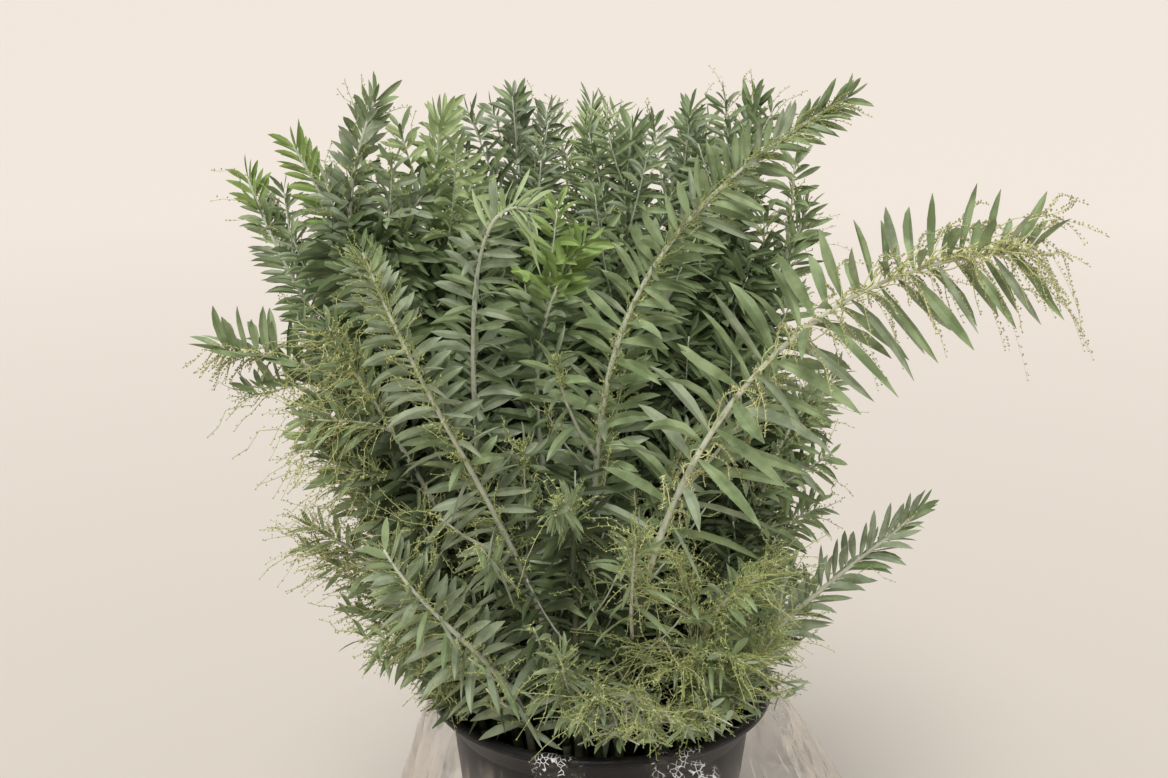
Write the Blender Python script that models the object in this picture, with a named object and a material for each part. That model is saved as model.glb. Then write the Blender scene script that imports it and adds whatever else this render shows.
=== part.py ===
"""Cut wattle stems standing in a black flower bucket, with a clear film sleeve folded down over its rim.

Metres, +Z up. The origin is the middle of the bucket's flat underside, and the side seen in the
photograph faces -Y. Each stem is a bare stick inside the bucket. Above it comes its spray: one leafy
axis with side shoots, lance-shaped leaves and slim bud stalks, all fused into one solid.
"""

import itertools
import math
import random
from collections import namedtuple
from functools import partial

import bmesh
import bpy
import numpy as np
from mathutils import Matrix, Vector

# Bucket
BUCKET_HEIGHT = 0.330
RIM_BEAD = 0.0050
RIM_RADIUS = 0.150
WALL_TOP_RADIUS = 0.131
FOOT_RADIUS = 0.095
FOOT_CHAMFER = 0.003
FLOOR = 0.004
WALL = 0.003
BAND_HEIGHT = 0.030
BAND_STEP = 0.0035
SIDES = 40

# Film sleeve
FILM = 0.0009
FILM_GAP = 0.0012
FILM_INSIDE = 0.034
FILM_DROP = 0.175
FILM_FLARE = 0.075
FILM_LEAN = 0.37
PLEATS = 12
PLEAT_DEPTH = 0.0075

# Stems
STEM_RADIUS = 0.0042
RIM_LEVEL_RADIUS = 0.0036
TIP_RADIUS = 0.0013
STEM_SIDES = 6
MEETING_GAP = 0.0003
MOUTH_LIMIT = 0.120
MOUTH_SPACING = 0.034
MOUTH_LEAN = 0.45
FOOT_SHARE = 0.40
SPRAY_START = BUCKET_HEIGHT - 0.022

# Sprays
TWIG_SIDES = 3
AXIS_STEP = 0.055
STRAIGHT_START = 0.018
SHOOT_RADIUS = 0.0013
SHOOT_TIP_RADIUS = 0.0010
LEAF_LENGTH = 0.080
LEAF_WIDTH = 0.022
LEAF_THICKNESS = 0.0022
WIDEST_AT = 0.42
BLADE_BEND = 0.12
NECK_SHARE = 0.6
BLADE_SIZES = (1.0, 0.8, 0.6)
LEAF_STEP = 0.034
CROWDING = 0.8
LEAF_TURN = math.radians(120)
LEAF_JITTER = math.radians(20)
LEAF_SPREAD = math.radians(52)
STALK_LENGTH = 0.095
STALK_WIDTH = 0.0036
STALK_SPREAD = math.radians(38)
STALK_EVERY = 4
SHOOT_SHARES = (0.2, 0.42)
SHOOT_LENGTH = 0.30
SHOOT_SPREAD = math.radians(40)
SHOOT_CLEARANCE = 0.024
OWN_SPACE = 0.0012
SAMPLE = 0.010
WELD = 0.000002
DEALS = 8

# Where each spray ends and begins. azimuth: round the bucket, 0 at +X. reach: from the axis. height: above
# the rim. mouth: the azimuth at which it leaves the bucket. heading and rise: which way its tip points.
# arch: how boldly it bows on the way. leaf: the size of its leaves. bloom: how many bud stalks it has.
Spray = namedtuple("Spray", "azimuth reach height mouth heading rise arch leaf bloom")
SPRAYS = {
    "right_long": Spray(-31, 0.385, 0.432, -78, 0, -4, 1.25, 1.0, 1.0),
    "right_tall": Spray(-40, 0.234, 0.538, -100, 0, 30, 1.35, 1.0, 0.5),
    "front_left": Spray(-133, 0.258, 0.434, -106, 150, 66, 1.0, 0.9, 0.5),
    "low_left": Spray(-135, 0.241, 0.196, -116, 150, 58, 0.9, 0.85, 1.0),
    "left_inner": Spray(-157, 0.256, 0.265, -157, 170, 45, 1.1, 0.85, 0.5),
    "low_right": Spray(-19, 0.272, 0.194, -30, -4, 46, 0.9, 0.8, 0.3),
    "left_low": Spray(-176, 0.321, 0.306, -176, 178, 0, 1.5, 0.8, 1.0),
    "left_high": Spray(174, 0.296, 0.444, 174, 150, 68, 1.1, 0.75, 0.3),
    "left_top": Spray(-175, 0.249, 0.481, -175, 180, 62, 1.1, 0.8, 0.3),
    "top_left_tall": Spray(-161, 0.185, 0.523, -161, -10, 66, 1.3, 0.85, 0.4),
    "top_centre_left": Spray(180, 0.128, 0.502, 180, 30, 76, 1.0, 0.85, 0.2),
    "nodding": Spray(-108, 0.169, 0.453, -160, 0, -30, 0.6, 0.85, 0.0),
    "bright": Spray(-101, 0.061, 0.410, -120, 0, 50, 1.0, 0.9, 0.0),
    "centre_front": Spray(-97, 0.292, 0.266, -97, -98, 10, 1.5, 0.9, 1.0),
    "low_centre": Spray(-92, 0.208, 0.085, -70, -90, 22, 1.2, 0.9, 0.8),
    "low_right_front": Spray(-59, 0.234, 0.184, -59, -25, 36, 1.1, 0.9, 1.0),
    "right_mid": Spray(0, 0.179, 0.266, 0, 0, 56, 1.1, 0.9, 0.8),
    "right_upper": Spray(19, 0.185, 0.413, 19, 25, 70, 1.1, 0.9, 0.6),
    "left_mid": Spray(-169, 0.250, 0.165, -169, 178, 30, 1.2, 0.8, 1.0),
    "left_front": Spray(-151, 0.245, 0.359, -151, 175, 60, 1.1, 0.85, 1.0),
    "back_left": Spray(122, 0.141, 0.500, 122, 100, 78, 1.1, 0.85, 0.2),
    "back_centre": Spray(93, 0.160, 0.487, 93, 80, 80, 1.1, 0.85, 0.2),
    "back_inner": Spray(72, 0.084, 0.479, 72, 60, 80, 1.1, 0.85, 0.2),
    "back_right": Spray(62, 0.171, 0.484, 62, 60, 76, 1.1, 0.85, 0.2),
    "back_far_right": Spray(37, 0.166, 0.498, 37, 40, 74, 1.1, 0.85, 0.2),
}
REAR_RING = {"count": 4, "first": 148, "last": 34, "reach": (0.290, 0.265), "height": (0.330, 0.240), "rise": 45}

BLACK_PLASTIC = ("bucket", (0.012, 0.012, 0.013, 1.0), 0.42)
CLEAR_FILM = ("film", (0.85, 0.85, 0.83, 0.3), 0.12)
STEM_BARK = ("stem", (0.20, 0.20, 0.14, 1.0), 0.85)
LEAF_GREEN = ("leaf", (0.105, 0.150, 0.095, 1.0), 0.70)


def material(name, colour, roughness):
    made = bpy.data.materials.get(name) or bpy.data.materials.new(name)
    made.use_nodes = True
    shader = made.node_tree.nodes["Principled BSDF"]
    shader.inputs["Base Color"].default_value = colour
    shader.inputs["Alpha"].default_value = colour[3]
    shader.inputs["Roughness"].default_value = roughness
    shader.inputs["Metallic"].default_value = 0.0
    return made


def add_object(name, bm, look):
    """Turns a bmesh into a named object with its material."""
    bmesh.ops.recalc_face_normals(bm, faces=bm.faces)
    mesh = bpy.data.meshes.new(name)
    bm.to_mesh(mesh)
    bm.free()
    mesh.materials.append(material(*look))
    made = bpy.data.objects.new(name, mesh)
    bpy.context.scene.collection.objects.link(made)
    return made


def shade_round(made):
    made.data.shade_smooth()
    made.data.set_sharp_from_angle(angle=math.radians(35))


def direction_of(heading, rise):
    """The unit vector with this compass heading and rise above the horizon, in degrees."""
    a, e = math.radians(heading), math.radians(rise)
    return Vector((math.cos(a) * math.cos(e), math.sin(a) * math.cos(e), math.sin(e)))


class Line:
    """A smooth line through space, read by the distance along it, with a frame that turns with it."""

    def __init__(self, points):
        self.points = [Vector(p) for p in points]
        steps = [(b - a).length for a, b in zip(self.points, self.points[1:])]
        self.along = np.concatenate([[0.0], np.cumsum(steps)])
        self.length = float(self.along[-1])
        self.array = np.array(self.points)
        self.sides = self._carried_sides()

    def _carried_sides(self):
        """A vector square to the line at each point, carried along it without twist."""
        side = self.direction(0.0).orthogonal().normalized()
        carried = []
        for distance in self.along:
            ahead = self.direction(float(distance))
            side = (side - ahead * side.dot(ahead)).normalized()
            carried.append(side.copy())
        return carried

    def at(self, distance):
        return Vector([float(np.interp(distance, self.along, self.array[:, k])) for k in range(3)])

    def direction(self, distance):
        near = min(max(distance, SAMPLE / 2), self.length - SAMPLE / 2)
        return (self.at(near + SAMPLE / 2) - self.at(near - SAMPLE / 2)).normalized()

    def frame(self, distance):
        """The way ahead and two ways square to it and to each other."""
        ahead = self.direction(distance)
        nearest = int(np.argmin(np.abs(self.along - distance)))
        side = self.sides[nearest]
        side = (side - ahead * side.dot(ahead)).normalized()
        return ahead, side, ahead.cross(side)

    def distance_at_height(self, height):
        """How far along the line first rises past this height."""
        return float(self.along[int(np.argmax(self.array[:, 2] >= height))])


def bent_line(start, way_out, end, way_in, arch):
    """A line that leaves start along way_out and arrives at end along way_in."""
    pull = arch * (end - start).length
    count = max(4, round((end - start).length * 1.2 / SAMPLE))
    points = []
    for i in range(count + 1):
        t = i / count
        points.append(
            start * (2 * t**3 - 3 * t**2 + 1)
            + way_out * (pull * (t**3 - 2 * t**2 + t))
            + end * (3 * t**2 - 2 * t**3)
            + way_in * (pull * (t**3 - t**2))
        )
    return points


def all_sprays():
    """The sprays seen in the photograph, then the rear ring that finishes the crown behind."""
    sprays = dict(SPRAYS)
    for i in range(REAR_RING["count"]):
        share = i / (REAR_RING["count"] - 1)
        azimuth = REAR_RING["first"] + (REAR_RING["last"] - REAR_RING["first"]) * share
        reach, height = REAR_RING["reach"][i % 2], REAR_RING["height"][i % 2]
        sprays[f"rear_{i + 1}"] = Spray(
            azimuth, reach, height, azimuth, azimuth, REAR_RING["rise"], 1.1, 0.9, 0.5
        )
    return sprays


def spread_out(places, gap, limit):
    """Pushes places apart until they lie gap from each other, all within limit of the middle."""
    places = np.array(places)
    for _ in range(200):
        apart = places[:, None] - places[None]
        distance = np.linalg.norm(apart, axis=2) + np.eye(len(places))
        short = np.clip(gap - distance, 0, None) * (1 - np.eye(len(places)))
        places = places + 0.5 * (apart / distance[..., None] * short[..., None]).sum(axis=1)
        radius = np.linalg.norm(places, axis=1, keepdims=True)
        places = places * np.minimum(1, limit / np.maximum(radius, 1e-9))
    return places


def mouth_places(sprays):
    """Where each stem passes the bucket's mouth: the more it leans, the nearer the rim."""
    places = []
    for s in sprays.values():
        lean = s.reach / (s.reach + s.height)
        radius = MOUTH_LIMIT * min(1.0, lean / MOUTH_LEAN)
        places.append((radius * math.cos(math.radians(s.mouth)), radius * math.sin(math.radians(s.mouth))))
    return spread_out(places, MOUTH_SPACING, MOUTH_LIMIT)


def stem_line(spray, mouth):
    """The whole stem, from its cut foot on the bucket's floor, through the mouth, to the spray's tip."""
    at_rim = Vector((mouth[0], mouth[1], BUCKET_HEIGHT))
    foot = Vector((mouth[0] * FOOT_SHARE, mouth[1] * FOOT_SHARE, 0))
    lean = (at_rim - foot).normalized()
    tilt = math.sqrt(1 - lean.z**2)
    foot += lean * ((FLOOR + MEETING_GAP + STEM_RADIUS * tilt) / lean.z)
    tip = direction_of(spray.azimuth, 0) * spray.reach + Vector((0, 0, BUCKET_HEIGHT + spray.height))
    count = round((at_rim - foot).length / SAMPLE)
    inside = [foot.lerp(at_rim, i / count) for i in range(count)]
    return Line(inside + bent_line(at_rim, lean, tip, direction_of(spray.heading, spray.rise), spray.arch))


def in_steps(line, start, end, step):
    """Part of a line, drawn in a few straight steps."""
    count = max(3, round((end - start) / step))
    return Line([line.at(start + (end - start) * i / count) for i in range(count + 1)])


def spray_axis(line, start):
    """A spray's axis: straight on from its stem at first, then drawn in a few straight steps."""
    return Line([line.at(start)] + in_steps(line, start + STRAIGHT_START, line.length, AXIS_STEP).points)


def tube(line, radius_of, sides):
    """A tapering tube with a ring at each point of a line, bridged in turn and capped."""
    bm = bmesh.new()
    previous = None
    last = len(line.points) - 1
    for i, distance in enumerate(line.along):
        ahead, side, across = line.frame(distance)
        turn = Matrix((side, across, ahead)).transposed().to_4x4()
        place = Matrix.Translation(line.points[i]) @ turn
        made = bmesh.ops.create_circle(
            bm, cap_ends=i in (0, last), segments=sides, radius=radius_of(distance), matrix=place
        )
        ring = [v for v in made["verts"] if len(v.link_edges) >= 2]
        edges = {e for v in ring for e in v.link_edges if all(w in ring for w in e.verts)}
        if previous is not None:
            bmesh.ops.bridge_loops(bm, edges=list(edges | previous))
        previous = edges
    return bm


def blade(root, neck, along, edge_way, length, width, thickness):
    """The seven corners of a leaf or bud stalk: a root triangle, a triangle at its widest and its tip."""
    normal = along.cross(edge_way).normalized()
    middle = root + along * (length * WIDEST_AT)
    corners = []
    for centre, wide, thick in ((root, neck, neck), (middle, width, thickness)):
        corners.append(centre + edge_way * (wide / 2) - normal * (thick * 0.3))
        corners.append(centre - edge_way * (wide / 2) - normal * (thick * 0.3))
        corners.append(centre + normal * (thick * 0.7))
    return corners + [root + along * length - edge_way * (BLADE_BEND * length)]


def blade_object(name, corners):
    bm = bmesh.new()
    for corner in corners:
        bm.verts.new(corner)
    bmesh.ops.convex_hull(bm, input=bm.verts)
    return add_object(name, bm, LEAF_GREEN)


def filled(line):
    """Places all along a line, close together, as an array."""
    count = math.ceil(line.length / SAMPLE)
    return np.array([line.at(line.length * i / count) for i in range(count + 1)])


def nearest(points, skeleton):
    """The distance from each point to the nearest point of a skeleton, an array of places."""
    return np.linalg.norm(points[:, None] - skeleton[None], axis=2).min(axis=1)


def clear_of_bucket(points):
    """True if no point comes near the bucket's rim, its wall or the film outside it."""
    radius = np.hypot(points[:, 0], points[:, 1])
    low = points[:, 2] < BUCKET_HEIGHT + 0.006
    return not np.any(low & (radius > MOUTH_LIMIT + 0.008))


def in_own_space(corners, own, others):
    """True if a blade lies nearer its own spray's axes than any other's, and clear of the bucket."""
    corners = np.array(corners)
    wide, tip = corners[3:6], corners[6]
    points = np.vstack([wide, [tip], (wide + tip) / 2, (wide + corners[:3]) / 2])
    return clear_of_bucket(points) and bool(
        np.all(nearest(points, own) + OWN_SPACE + RIM_LEVEL_RADIUS * 0.5 < nearest(points, others))
    )


def side_shoots(axis, others):
    """Side shoots in the lower half of a spray, each turned to where it has the most room."""
    shoots = []
    for share in SHOOT_SHARES:
        distance = axis.length * share
        root = axis.at(distance)
        ahead, side, across = axis.frame(distance)
        length = SHOOT_LENGTH * (axis.length - distance)
        best, best_room = None, SHOOT_CLEARANCE
        for turn in range(12):
            angle = math.radians(30 * turn)
            outward = side * math.cos(angle) + across * math.sin(angle)
            way_out = ahead * math.cos(SHOOT_SPREAD) + outward * math.sin(SHOOT_SPREAD)
            end = root + (way_out * 0.8 + ahead * 0.35) * length
            shoot = Line(bent_line(root, way_out, end, (ahead + outward * 0.3).normalized(), 1.0))
            beyond = shoot.array[len(shoot.array) // 3 :]
            room = nearest(beyond, np.vstack([others, *[filled(s) for s in shoots]])).min()
            if room > best_room and clear_of_bucket(shoot.array):
                best, best_room = in_steps(shoot, 0, shoot.length, AXIS_STEP), room
        if best is not None:
            shoots.append(best)
    return shoots


def blades_on(line, start, radius_of, spray, own, others, rng):
    """The leaves and bud stalks along one axis. One that would leave its spray's space is tried on the
    axis's other faces, then shorter and steeper, and then skipped."""
    made = []
    count = round((line.length - start) / LEAF_STEP)
    for i in range(count):
        share = ((i + 0.5) / count) ** CROWDING
        distance = start + (line.length - start) * share
        turn = math.pi / 3 + LEAF_TURN * i + rng.uniform(-LEAF_JITTER, LEAF_JITTER)
        is_stalk = i % STALK_EVERY == 1 and rng.random() < spray.bloom
        ahead, side, across = line.frame(distance)
        root, neck = line.at(distance), radius_of(distance) * NECK_SHARE
        length = spray.leaf * (STALK_LENGTH if is_stalk else LEAF_LENGTH * (1 - 0.5 * share**2))
        width, thickness = (STALK_WIDTH, STALK_WIDTH) if is_stalk else (LEAF_WIDTH, LEAF_THICKNESS)
        spread = (STALK_SPREAD if is_stalk else LEAF_SPREAD) * (1 - 0.55 * share**3)
        for size, face in itertools.product(BLADE_SIZES, range(3)):
            facing = turn + math.radians(120 * face)
            outward = side * math.cos(facing) + across * math.sin(facing)
            along = ahead * math.cos(spread * size) + outward * math.sin(spread * size)
            edge_way = (ahead - along * ahead.dot(along)).normalized()
            corners = blade(root, neck, along, edge_way, length * size, width * size**0.5, thickness)
            if in_own_space(corners, own, others):
                made.append(corners)
                break
    return made


def fuse(name, body, pieces):
    """Joins a spray's twigs and blades into one solid with one Boolean union, then removes the pieces."""
    group = bpy.data.collections.new(name + "_pieces")
    bpy.context.scene.collection.children.link(group)
    for piece in pieces:
        bpy.context.scene.collection.objects.unlink(piece)
        group.objects.link(piece)
    union = body.modifiers.new("fuse", "BOOLEAN")
    union.operation = "UNION"
    union.solver = "EXACT"
    union.operand_type = "COLLECTION"
    union.collection = group
    graph = bpy.context.evaluated_depsgraph_get()
    joined = bpy.data.meshes.new_from_object(body.evaluated_get(graph))
    body.modifiers.remove(union)
    body.data = joined
    joined.name = name
    for piece in pieces:
        bpy.data.objects.remove(piece)
    bpy.data.collections.remove(group)
    return weld(joined)


def weld(mesh):
    """Merges corners closer than WELD. True if every edge then has just two faces."""
    bm = bmesh.new()
    bm.from_mesh(mesh)
    bmesh.ops.remove_doubles(bm, verts=bm.verts, dist=WELD)
    bmesh.ops.dissolve_degenerate(bm, edges=bm.edges, dist=WELD)
    sound = all(edge.is_manifold for edge in bm.edges) and all(v.is_manifold for v in bm.verts)
    bm.to_mesh(mesh)
    bm.free()
    return sound


def make_stem(name, line, end):
    bare = Line([line.at(0), line.at(end)])
    bm = tube(bare, partial(np.interp, xp=[0, end], fp=[STEM_RADIUS, RIM_LEVEL_RADIUS]), STEM_SIDES)
    shade_round(add_object(name, bm, STEM_BARK))


def make_spray(name, axis, shoots, spray, own, others, seed):
    """One mass of foliage: the leafy axis, its side shoots, and the blades on all of them. If two
    blades meet so closely that the solid touches itself, they are dealt out again."""
    rng = random.Random(seed)
    for _ in range(DEALS):
        body, sound = deal_spray(name, axis, shoots, spray, own, others, rng)
        if sound:
            return
        bpy.data.objects.remove(body)
    raise RuntimeError(name + " touches itself however it is dealt")


def deal_spray(name, axis, shoots, spray, own, others, rng):
    radius_of = partial(np.interp, xp=[0, axis.length], fp=[RIM_LEVEL_RADIUS, TIP_RADIUS])
    body = add_object(name, tube(axis, radius_of, TWIG_SIDES), LEAF_GREEN)
    pieces = []
    blades = blades_on(axis, 0, radius_of, spray, own, others, rng)
    for number, shoot in enumerate(shoots):
        radius_of = partial(np.interp, xp=[0, shoot.length], fp=[SHOOT_RADIUS, SHOOT_TIP_RADIUS])
        pieces.append(add_object(f"{name}_shoot_{number}", tube(shoot, radius_of, TWIG_SIDES), LEAF_GREEN))
        blades += blades_on(shoot, 0.02, radius_of, spray, own, others, rng)
    pieces += [blade_object(f"{name}_blade_{i}", corners) for i, corners in enumerate(blades)]
    return body, fuse(name, body, pieces)


def wall_radius(height):
    """The bucket's outer radius below its flared band."""
    return FOOT_RADIUS + (WALL_TOP_RADIUS - FOOT_RADIUS) * height / (BUCKET_HEIGHT - BAND_HEIGHT)


def bead_arc(radius, first, last, count):
    """Points round the rim's bead, from one angle to another, 0 pointing outwards and 90 up."""
    centre = (RIM_RADIUS - RIM_BEAD, BUCKET_HEIGHT - RIM_BEAD)
    points = []
    for i in range(count):
        angle = math.radians(first + (last - first) * i / (count - 1))
        points.append((centre[0] + radius * math.cos(angle), centre[1] + radius * math.sin(angle)))
    return points


def spun(profile):
    """A profile of (radius, height) points turned round the Z axis."""
    bm = bmesh.new()
    verts = [bm.verts.new((r, 0, z)) for r, z in profile]
    for a, b in zip(verts, verts[1:]):
        bm.edges.new((a, b))
    bmesh.ops.spin(
        bm, geom=bm.verts[:] + bm.edges[:], axis=(0, 0, 1), cent=(0, 0, 0), angle=2 * math.pi, steps=SIDES
    )
    bmesh.ops.remove_doubles(bm, verts=bm.verts, dist=1e-5)
    return bm


def make_bucket():
    """A tapered bucket with a flat underside, a stepped band that flares to its rim and a rolled bead."""
    band_foot = BUCKET_HEIGHT - BAND_HEIGHT
    below = wall_radius(band_foot)
    outside = [
        (0, 0),
        (FOOT_RADIUS - FOOT_CHAMFER, 0),
        (wall_radius(FOOT_CHAMFER), FOOT_CHAMFER),
        (below, band_foot),
        (below + BAND_STEP, band_foot + BAND_STEP),
    ]
    bead = bead_arc(RIM_BEAD, -100, 190, 6)
    inside = [(below - WALL, band_foot), (wall_radius(FLOOR) - WALL, FLOOR), (0, FLOOR)]
    shade_round(add_object("bucket", spun(outside + bead + inside), BLACK_PLASTIC))


def make_film():
    """A clear sleeve that lies inside the mouth, folds over the bead and hangs outside in pleats. It
    stands out further on the right than on the left, as in the photograph."""
    over = bead_arc(RIM_BEAD + FILM_GAP, 180, 0, 5)
    inner_foot = BUCKET_HEIGHT - FILM_INSIDE
    lining = [(wall_radius(inner_foot) - WALL - 0.0016, inner_foot)]
    fall = FILM_DROP - RIM_BEAD
    skirt = []
    for share in (0.10, 0.4, 1.0):
        skirt.append((over[-1][0] + FILM_FLARE * share, BUCKET_HEIGHT - RIM_BEAD - fall * share))
    bm = spun(lining + over + skirt)
    skirt_top = BUCKET_HEIGHT - RIM_BEAD - 0.001
    for vert in bm.verts:
        radius = math.hypot(vert.co.x, vert.co.y)
        if vert.co.z < skirt_top and radius > RIM_RADIUS:
            depth = (skirt_top - vert.co.z) / fall
            angle = math.atan2(vert.co.y, vert.co.x)
            pleat = math.sin(PLEATS * angle) + 0.35 * math.sin(5 * angle + 1)
            lean = FILM_LEAN * FILM_FLARE * depth * math.cos(angle)
            radius_new = radius + lean + PLEAT_DEPTH * pleat * depth**0.7
            vert.co.x *= radius_new / radius
            vert.co.y *= radius_new / radius
    film = add_object("film_sleeve", bm, CLEAR_FILM)
    wall = film.modifiers.new("thickness", "SOLIDIFY")
    wall.thickness = FILM
    wall.offset = 1.0
    film.data.shade_smooth()


def main():
    for old in list(bpy.data.objects):
        bpy.data.objects.remove(old)
    make_bucket()
    make_film()
    sprays = all_sprays()
    mouths = dict(zip(sprays, mouth_places(sprays)))
    lines = {name: stem_line(spray, mouths[name]) for name, spray in sprays.items()}
    axes, shoots, skeletons = {}, {}, {name: line.array for name, line in lines.items()}
    for name, line in lines.items():
        start = line.distance_at_height(SPRAY_START)
        axes[name] = spray_axis(line, start)
        make_stem("stem_" + name, line, start - MEETING_GAP)
        others = np.vstack([places for key, places in skeletons.items() if key != name])
        shoots[name] = side_shoots(axes[name], others)
        skeletons[name] = np.vstack([line.array] + [filled(s) for s in shoots[name]])
    for seed, name in enumerate(lines):
        others = np.vstack([places for key, places in skeletons.items() if key != name])
        make_spray("foliage_" + name, axes[name], shoots[name], sprays[name], skeletons[name], others, seed)


main()
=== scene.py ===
"""Cut wattle stems in a black flower bucket with a clear film sleeve, dressed for the photograph.

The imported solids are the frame. Every stem and spray is grown again here by the rule that shapes the
solids, and carried on to finer shoots, real-sized leaves and bud sprays. Metres, +Z up, -Y to the viewer.
"""

import math
from collections import namedtuple

import bmesh
import bpy
import numpy as np
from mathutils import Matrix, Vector


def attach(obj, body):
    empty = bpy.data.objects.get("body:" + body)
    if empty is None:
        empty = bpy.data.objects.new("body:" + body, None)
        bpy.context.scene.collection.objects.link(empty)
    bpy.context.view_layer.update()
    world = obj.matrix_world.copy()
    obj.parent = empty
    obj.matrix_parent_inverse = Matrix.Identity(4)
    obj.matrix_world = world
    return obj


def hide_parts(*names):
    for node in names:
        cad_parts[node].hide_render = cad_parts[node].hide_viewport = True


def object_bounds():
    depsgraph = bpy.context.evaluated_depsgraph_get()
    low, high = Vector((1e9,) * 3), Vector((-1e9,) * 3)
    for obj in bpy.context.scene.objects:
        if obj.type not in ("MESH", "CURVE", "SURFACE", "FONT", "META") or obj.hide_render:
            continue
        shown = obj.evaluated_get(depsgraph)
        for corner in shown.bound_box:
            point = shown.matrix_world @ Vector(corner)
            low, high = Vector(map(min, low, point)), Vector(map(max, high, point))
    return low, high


# Bucket
BUCKET_HEIGHT = 0.330
RIM_BEAD = 0.0050
RIM_RADIUS = 0.150
WALL_TOP_RADIUS = 0.131
FOOT_RADIUS = 0.095
FLOOR = 0.004
WALL = 0.003
BAND_HEIGHT = 0.030
BAND_STEP = 0.0035
BUCKET_SIDES = 192

# Film sleeve
FILM = 0.0009
FILM_GAP = 0.0008
FILM_INSIDE = 0.034
FILM_DROP = 0.175
FILM_FLARE = 0.075
FILM_LEAN = 0.37
FILM_SIDES = 420
FILM_ROWS = 36
PLEATS = 12
PLEAT_DEPTH = 0.0075
# Where the film is crumpled, with painted highlights of thin white lines there for glints: azimuth, height and how far
# it spreads.
CRINKLES_AND_GLINTS = (
    (-107, 0.325, 0.016),
    (-101, 0.322, 0.016),
    (-72, 0.326, 0.014),
    (-67, 0.323, 0.018),
    (-62, 0.317, 0.022),
    (-58, 0.308, 0.014),
    (-10, 0.315, 0.030),
    (48, 0.318, 0.034),
    (100, 0.314, 0.030),
    (158, 0.317, 0.034),
)

# Stems, as in the solids
STEM_RADIUS = 0.0042
RIM_LEVEL_RADIUS = 0.0036
TIP_RADIUS = 0.0013
MOUTH_LIMIT = 0.120
MOUTH_SPACING = 0.034
MOUTH_LEAN = 0.45
FOOT_SHARE = 0.40
MEETING_GAP = 0.0003
SPRAY_START = BUCKET_HEIGHT - 0.022
AXIS_STEP = 0.055
STRAIGHT_START = 0.018
SHOOT_SHARES = (0.2, 0.42)
SHOOT_LENGTH = 0.30
# How far up from the bucket's mouth each stem keeps the dark bark look, which is partly the stem's bark colour and
# partly painted shade where the mouth is dark.
NECK_SHADE = 0.034
SHADED_NECK_LENGTHS = {"centre_front": 0.240, "right_long": 0.190, "right_tall": 0.170}
SHOOT_SPREAD = math.radians(40)
SHOOT_CLEARANCE = 0.024
SHOOT_RADIUS = 0.0013
SAMPLE = 0.010

# Finer growth
FINE_EVERY = 0.024
OUTER_FROM = 0.40
OUTER_LIMIT = 0.35
OUTER_BACK = 0.80
FINE_FROM = 0.060
FINE_LENGTH = 0.105
FINE_RADIUS = 0.0010
FRINGE_SHOOTS = 6
FRINGE_ROOT = 0.032
FRINGE_RADIUS = 0.144
FRINGE_LEVEL = 0.011
FRINGE_REACH = (0.022, 0.100)
RIM_SHOOTS = 7
RIM_SHOOT_LENGTH = 0.095
RIM_SHOOT_GAPS = 0.42
RIM_SHOOT_BLOOM = 0.30
RIM_BLOOMS = {"low_right_front": 0.70, "low_centre": 0.55, "right_long": 0.45, "centre_front": 0.50, "right_mid": 0.25}
LEAF_EVERY = 0.0042
LOOSE = {
    "right_long": 1.12,
    "low_left": 0.85,
    "back_left": 0.75,
    "back_centre": 0.70,
    "back_inner": 0.75,
    "back_right": 0.75,
    "back_far_right": 0.75,
    "right_upper": 0.85,
    "left_high": 0.85,
    "top_left_tall": 0.85,
    "top_centre_left": 0.85,
}
SHOOT_THINNING = 1.05
TIP_TRIM = 0.004
TIP_TRIMS = {"right_long": 0.024, "left_low": 0.008}
TIP_TAPER = 0.42
UPRIGHT_TAPER = 0.26
TAPERS = {"right_tall": 0.62, "right_long": 0.42, "low_right": 0.45, "left_low": 0.15}
TAPERS.update({"centre_front": 0.60, "front_left": 0.62, "top_left_tall": 0.32, "top_centre_left": 0.32})
TAPERS.update({"left_top": 0.30, "back_left": 0.42, "back_centre": 0.42, "back_right": 0.42})
LEAF_LENGTH = 0.063
LEAF_WIDTH = 0.0106
LEAF_TURN = math.radians(144)
LEAF_ROWS = (0.0, 0.14, 0.37, 0.62, 0.84, 1.0)
LEAF_HALF_WIDTHS = (0.05, 0.24, 0.46, 0.48, 0.31, 0.02)
SHADE_ROWS = (0.0, 0.25, 0.70, 1.0)
SHADE_HALF_WIDTHS = (0.06, 0.40, 0.48, 0.04)
SHADE_SIZE = 1.45
LOW_FROM = {"right_long": 0.34, "centre_front": 0.50}
LOW_SIZES = {"right_long": 0.44, "centre_front": 0.58}
SHOOT_SIZE = 0.85
SHOOT_SIZES = {"right_long": 0.58}
LEAF_FOLD = 0.42
LEAF_LIFTS = {"left_low": 1.00, "right_long": 0.16, "low_right": 0.20}
FACING = {"left_high": 0.85, "left_top": 0.70, "front_left": 0.65, "low_left": 0.65, "top_left_tall": 0.40}
SPREAD = 60
SPREADS = {"left_low": 80, "right_long": 80, "front_left": 70, "low_left": 66, "right_tall": 58, "low_right": 46}
RACEME_LENGTH = 0.055
RACEME_RADII = {"green": 0.00043, "ripe": 0.00046, "long": 0.00062}
RACEME_SIZES = {"right_long": 1.65, "right_tall": 0.55, "front_left": 0.75, "left_low": 0.95}
RACEME_SIZES.update({"low_right_front": 1.15, "low_centre": 1.05, "centre_front": 1.0, "left_front": 1.0, "left_inner": 0.85, "left_mid": 0.9, "low_left": 0.7})
LONG = ("right_long", "left_low")
HANGING_RISE = 8
HANGING_LENGTH = 1.22
BOWS = {"low_right_front": 0.25, "low_centre": 0.5, "right_tall": 0.6}
RIPE = ("right_mid", "left_high", "left_front", "left_inner", "left_mid")
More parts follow.
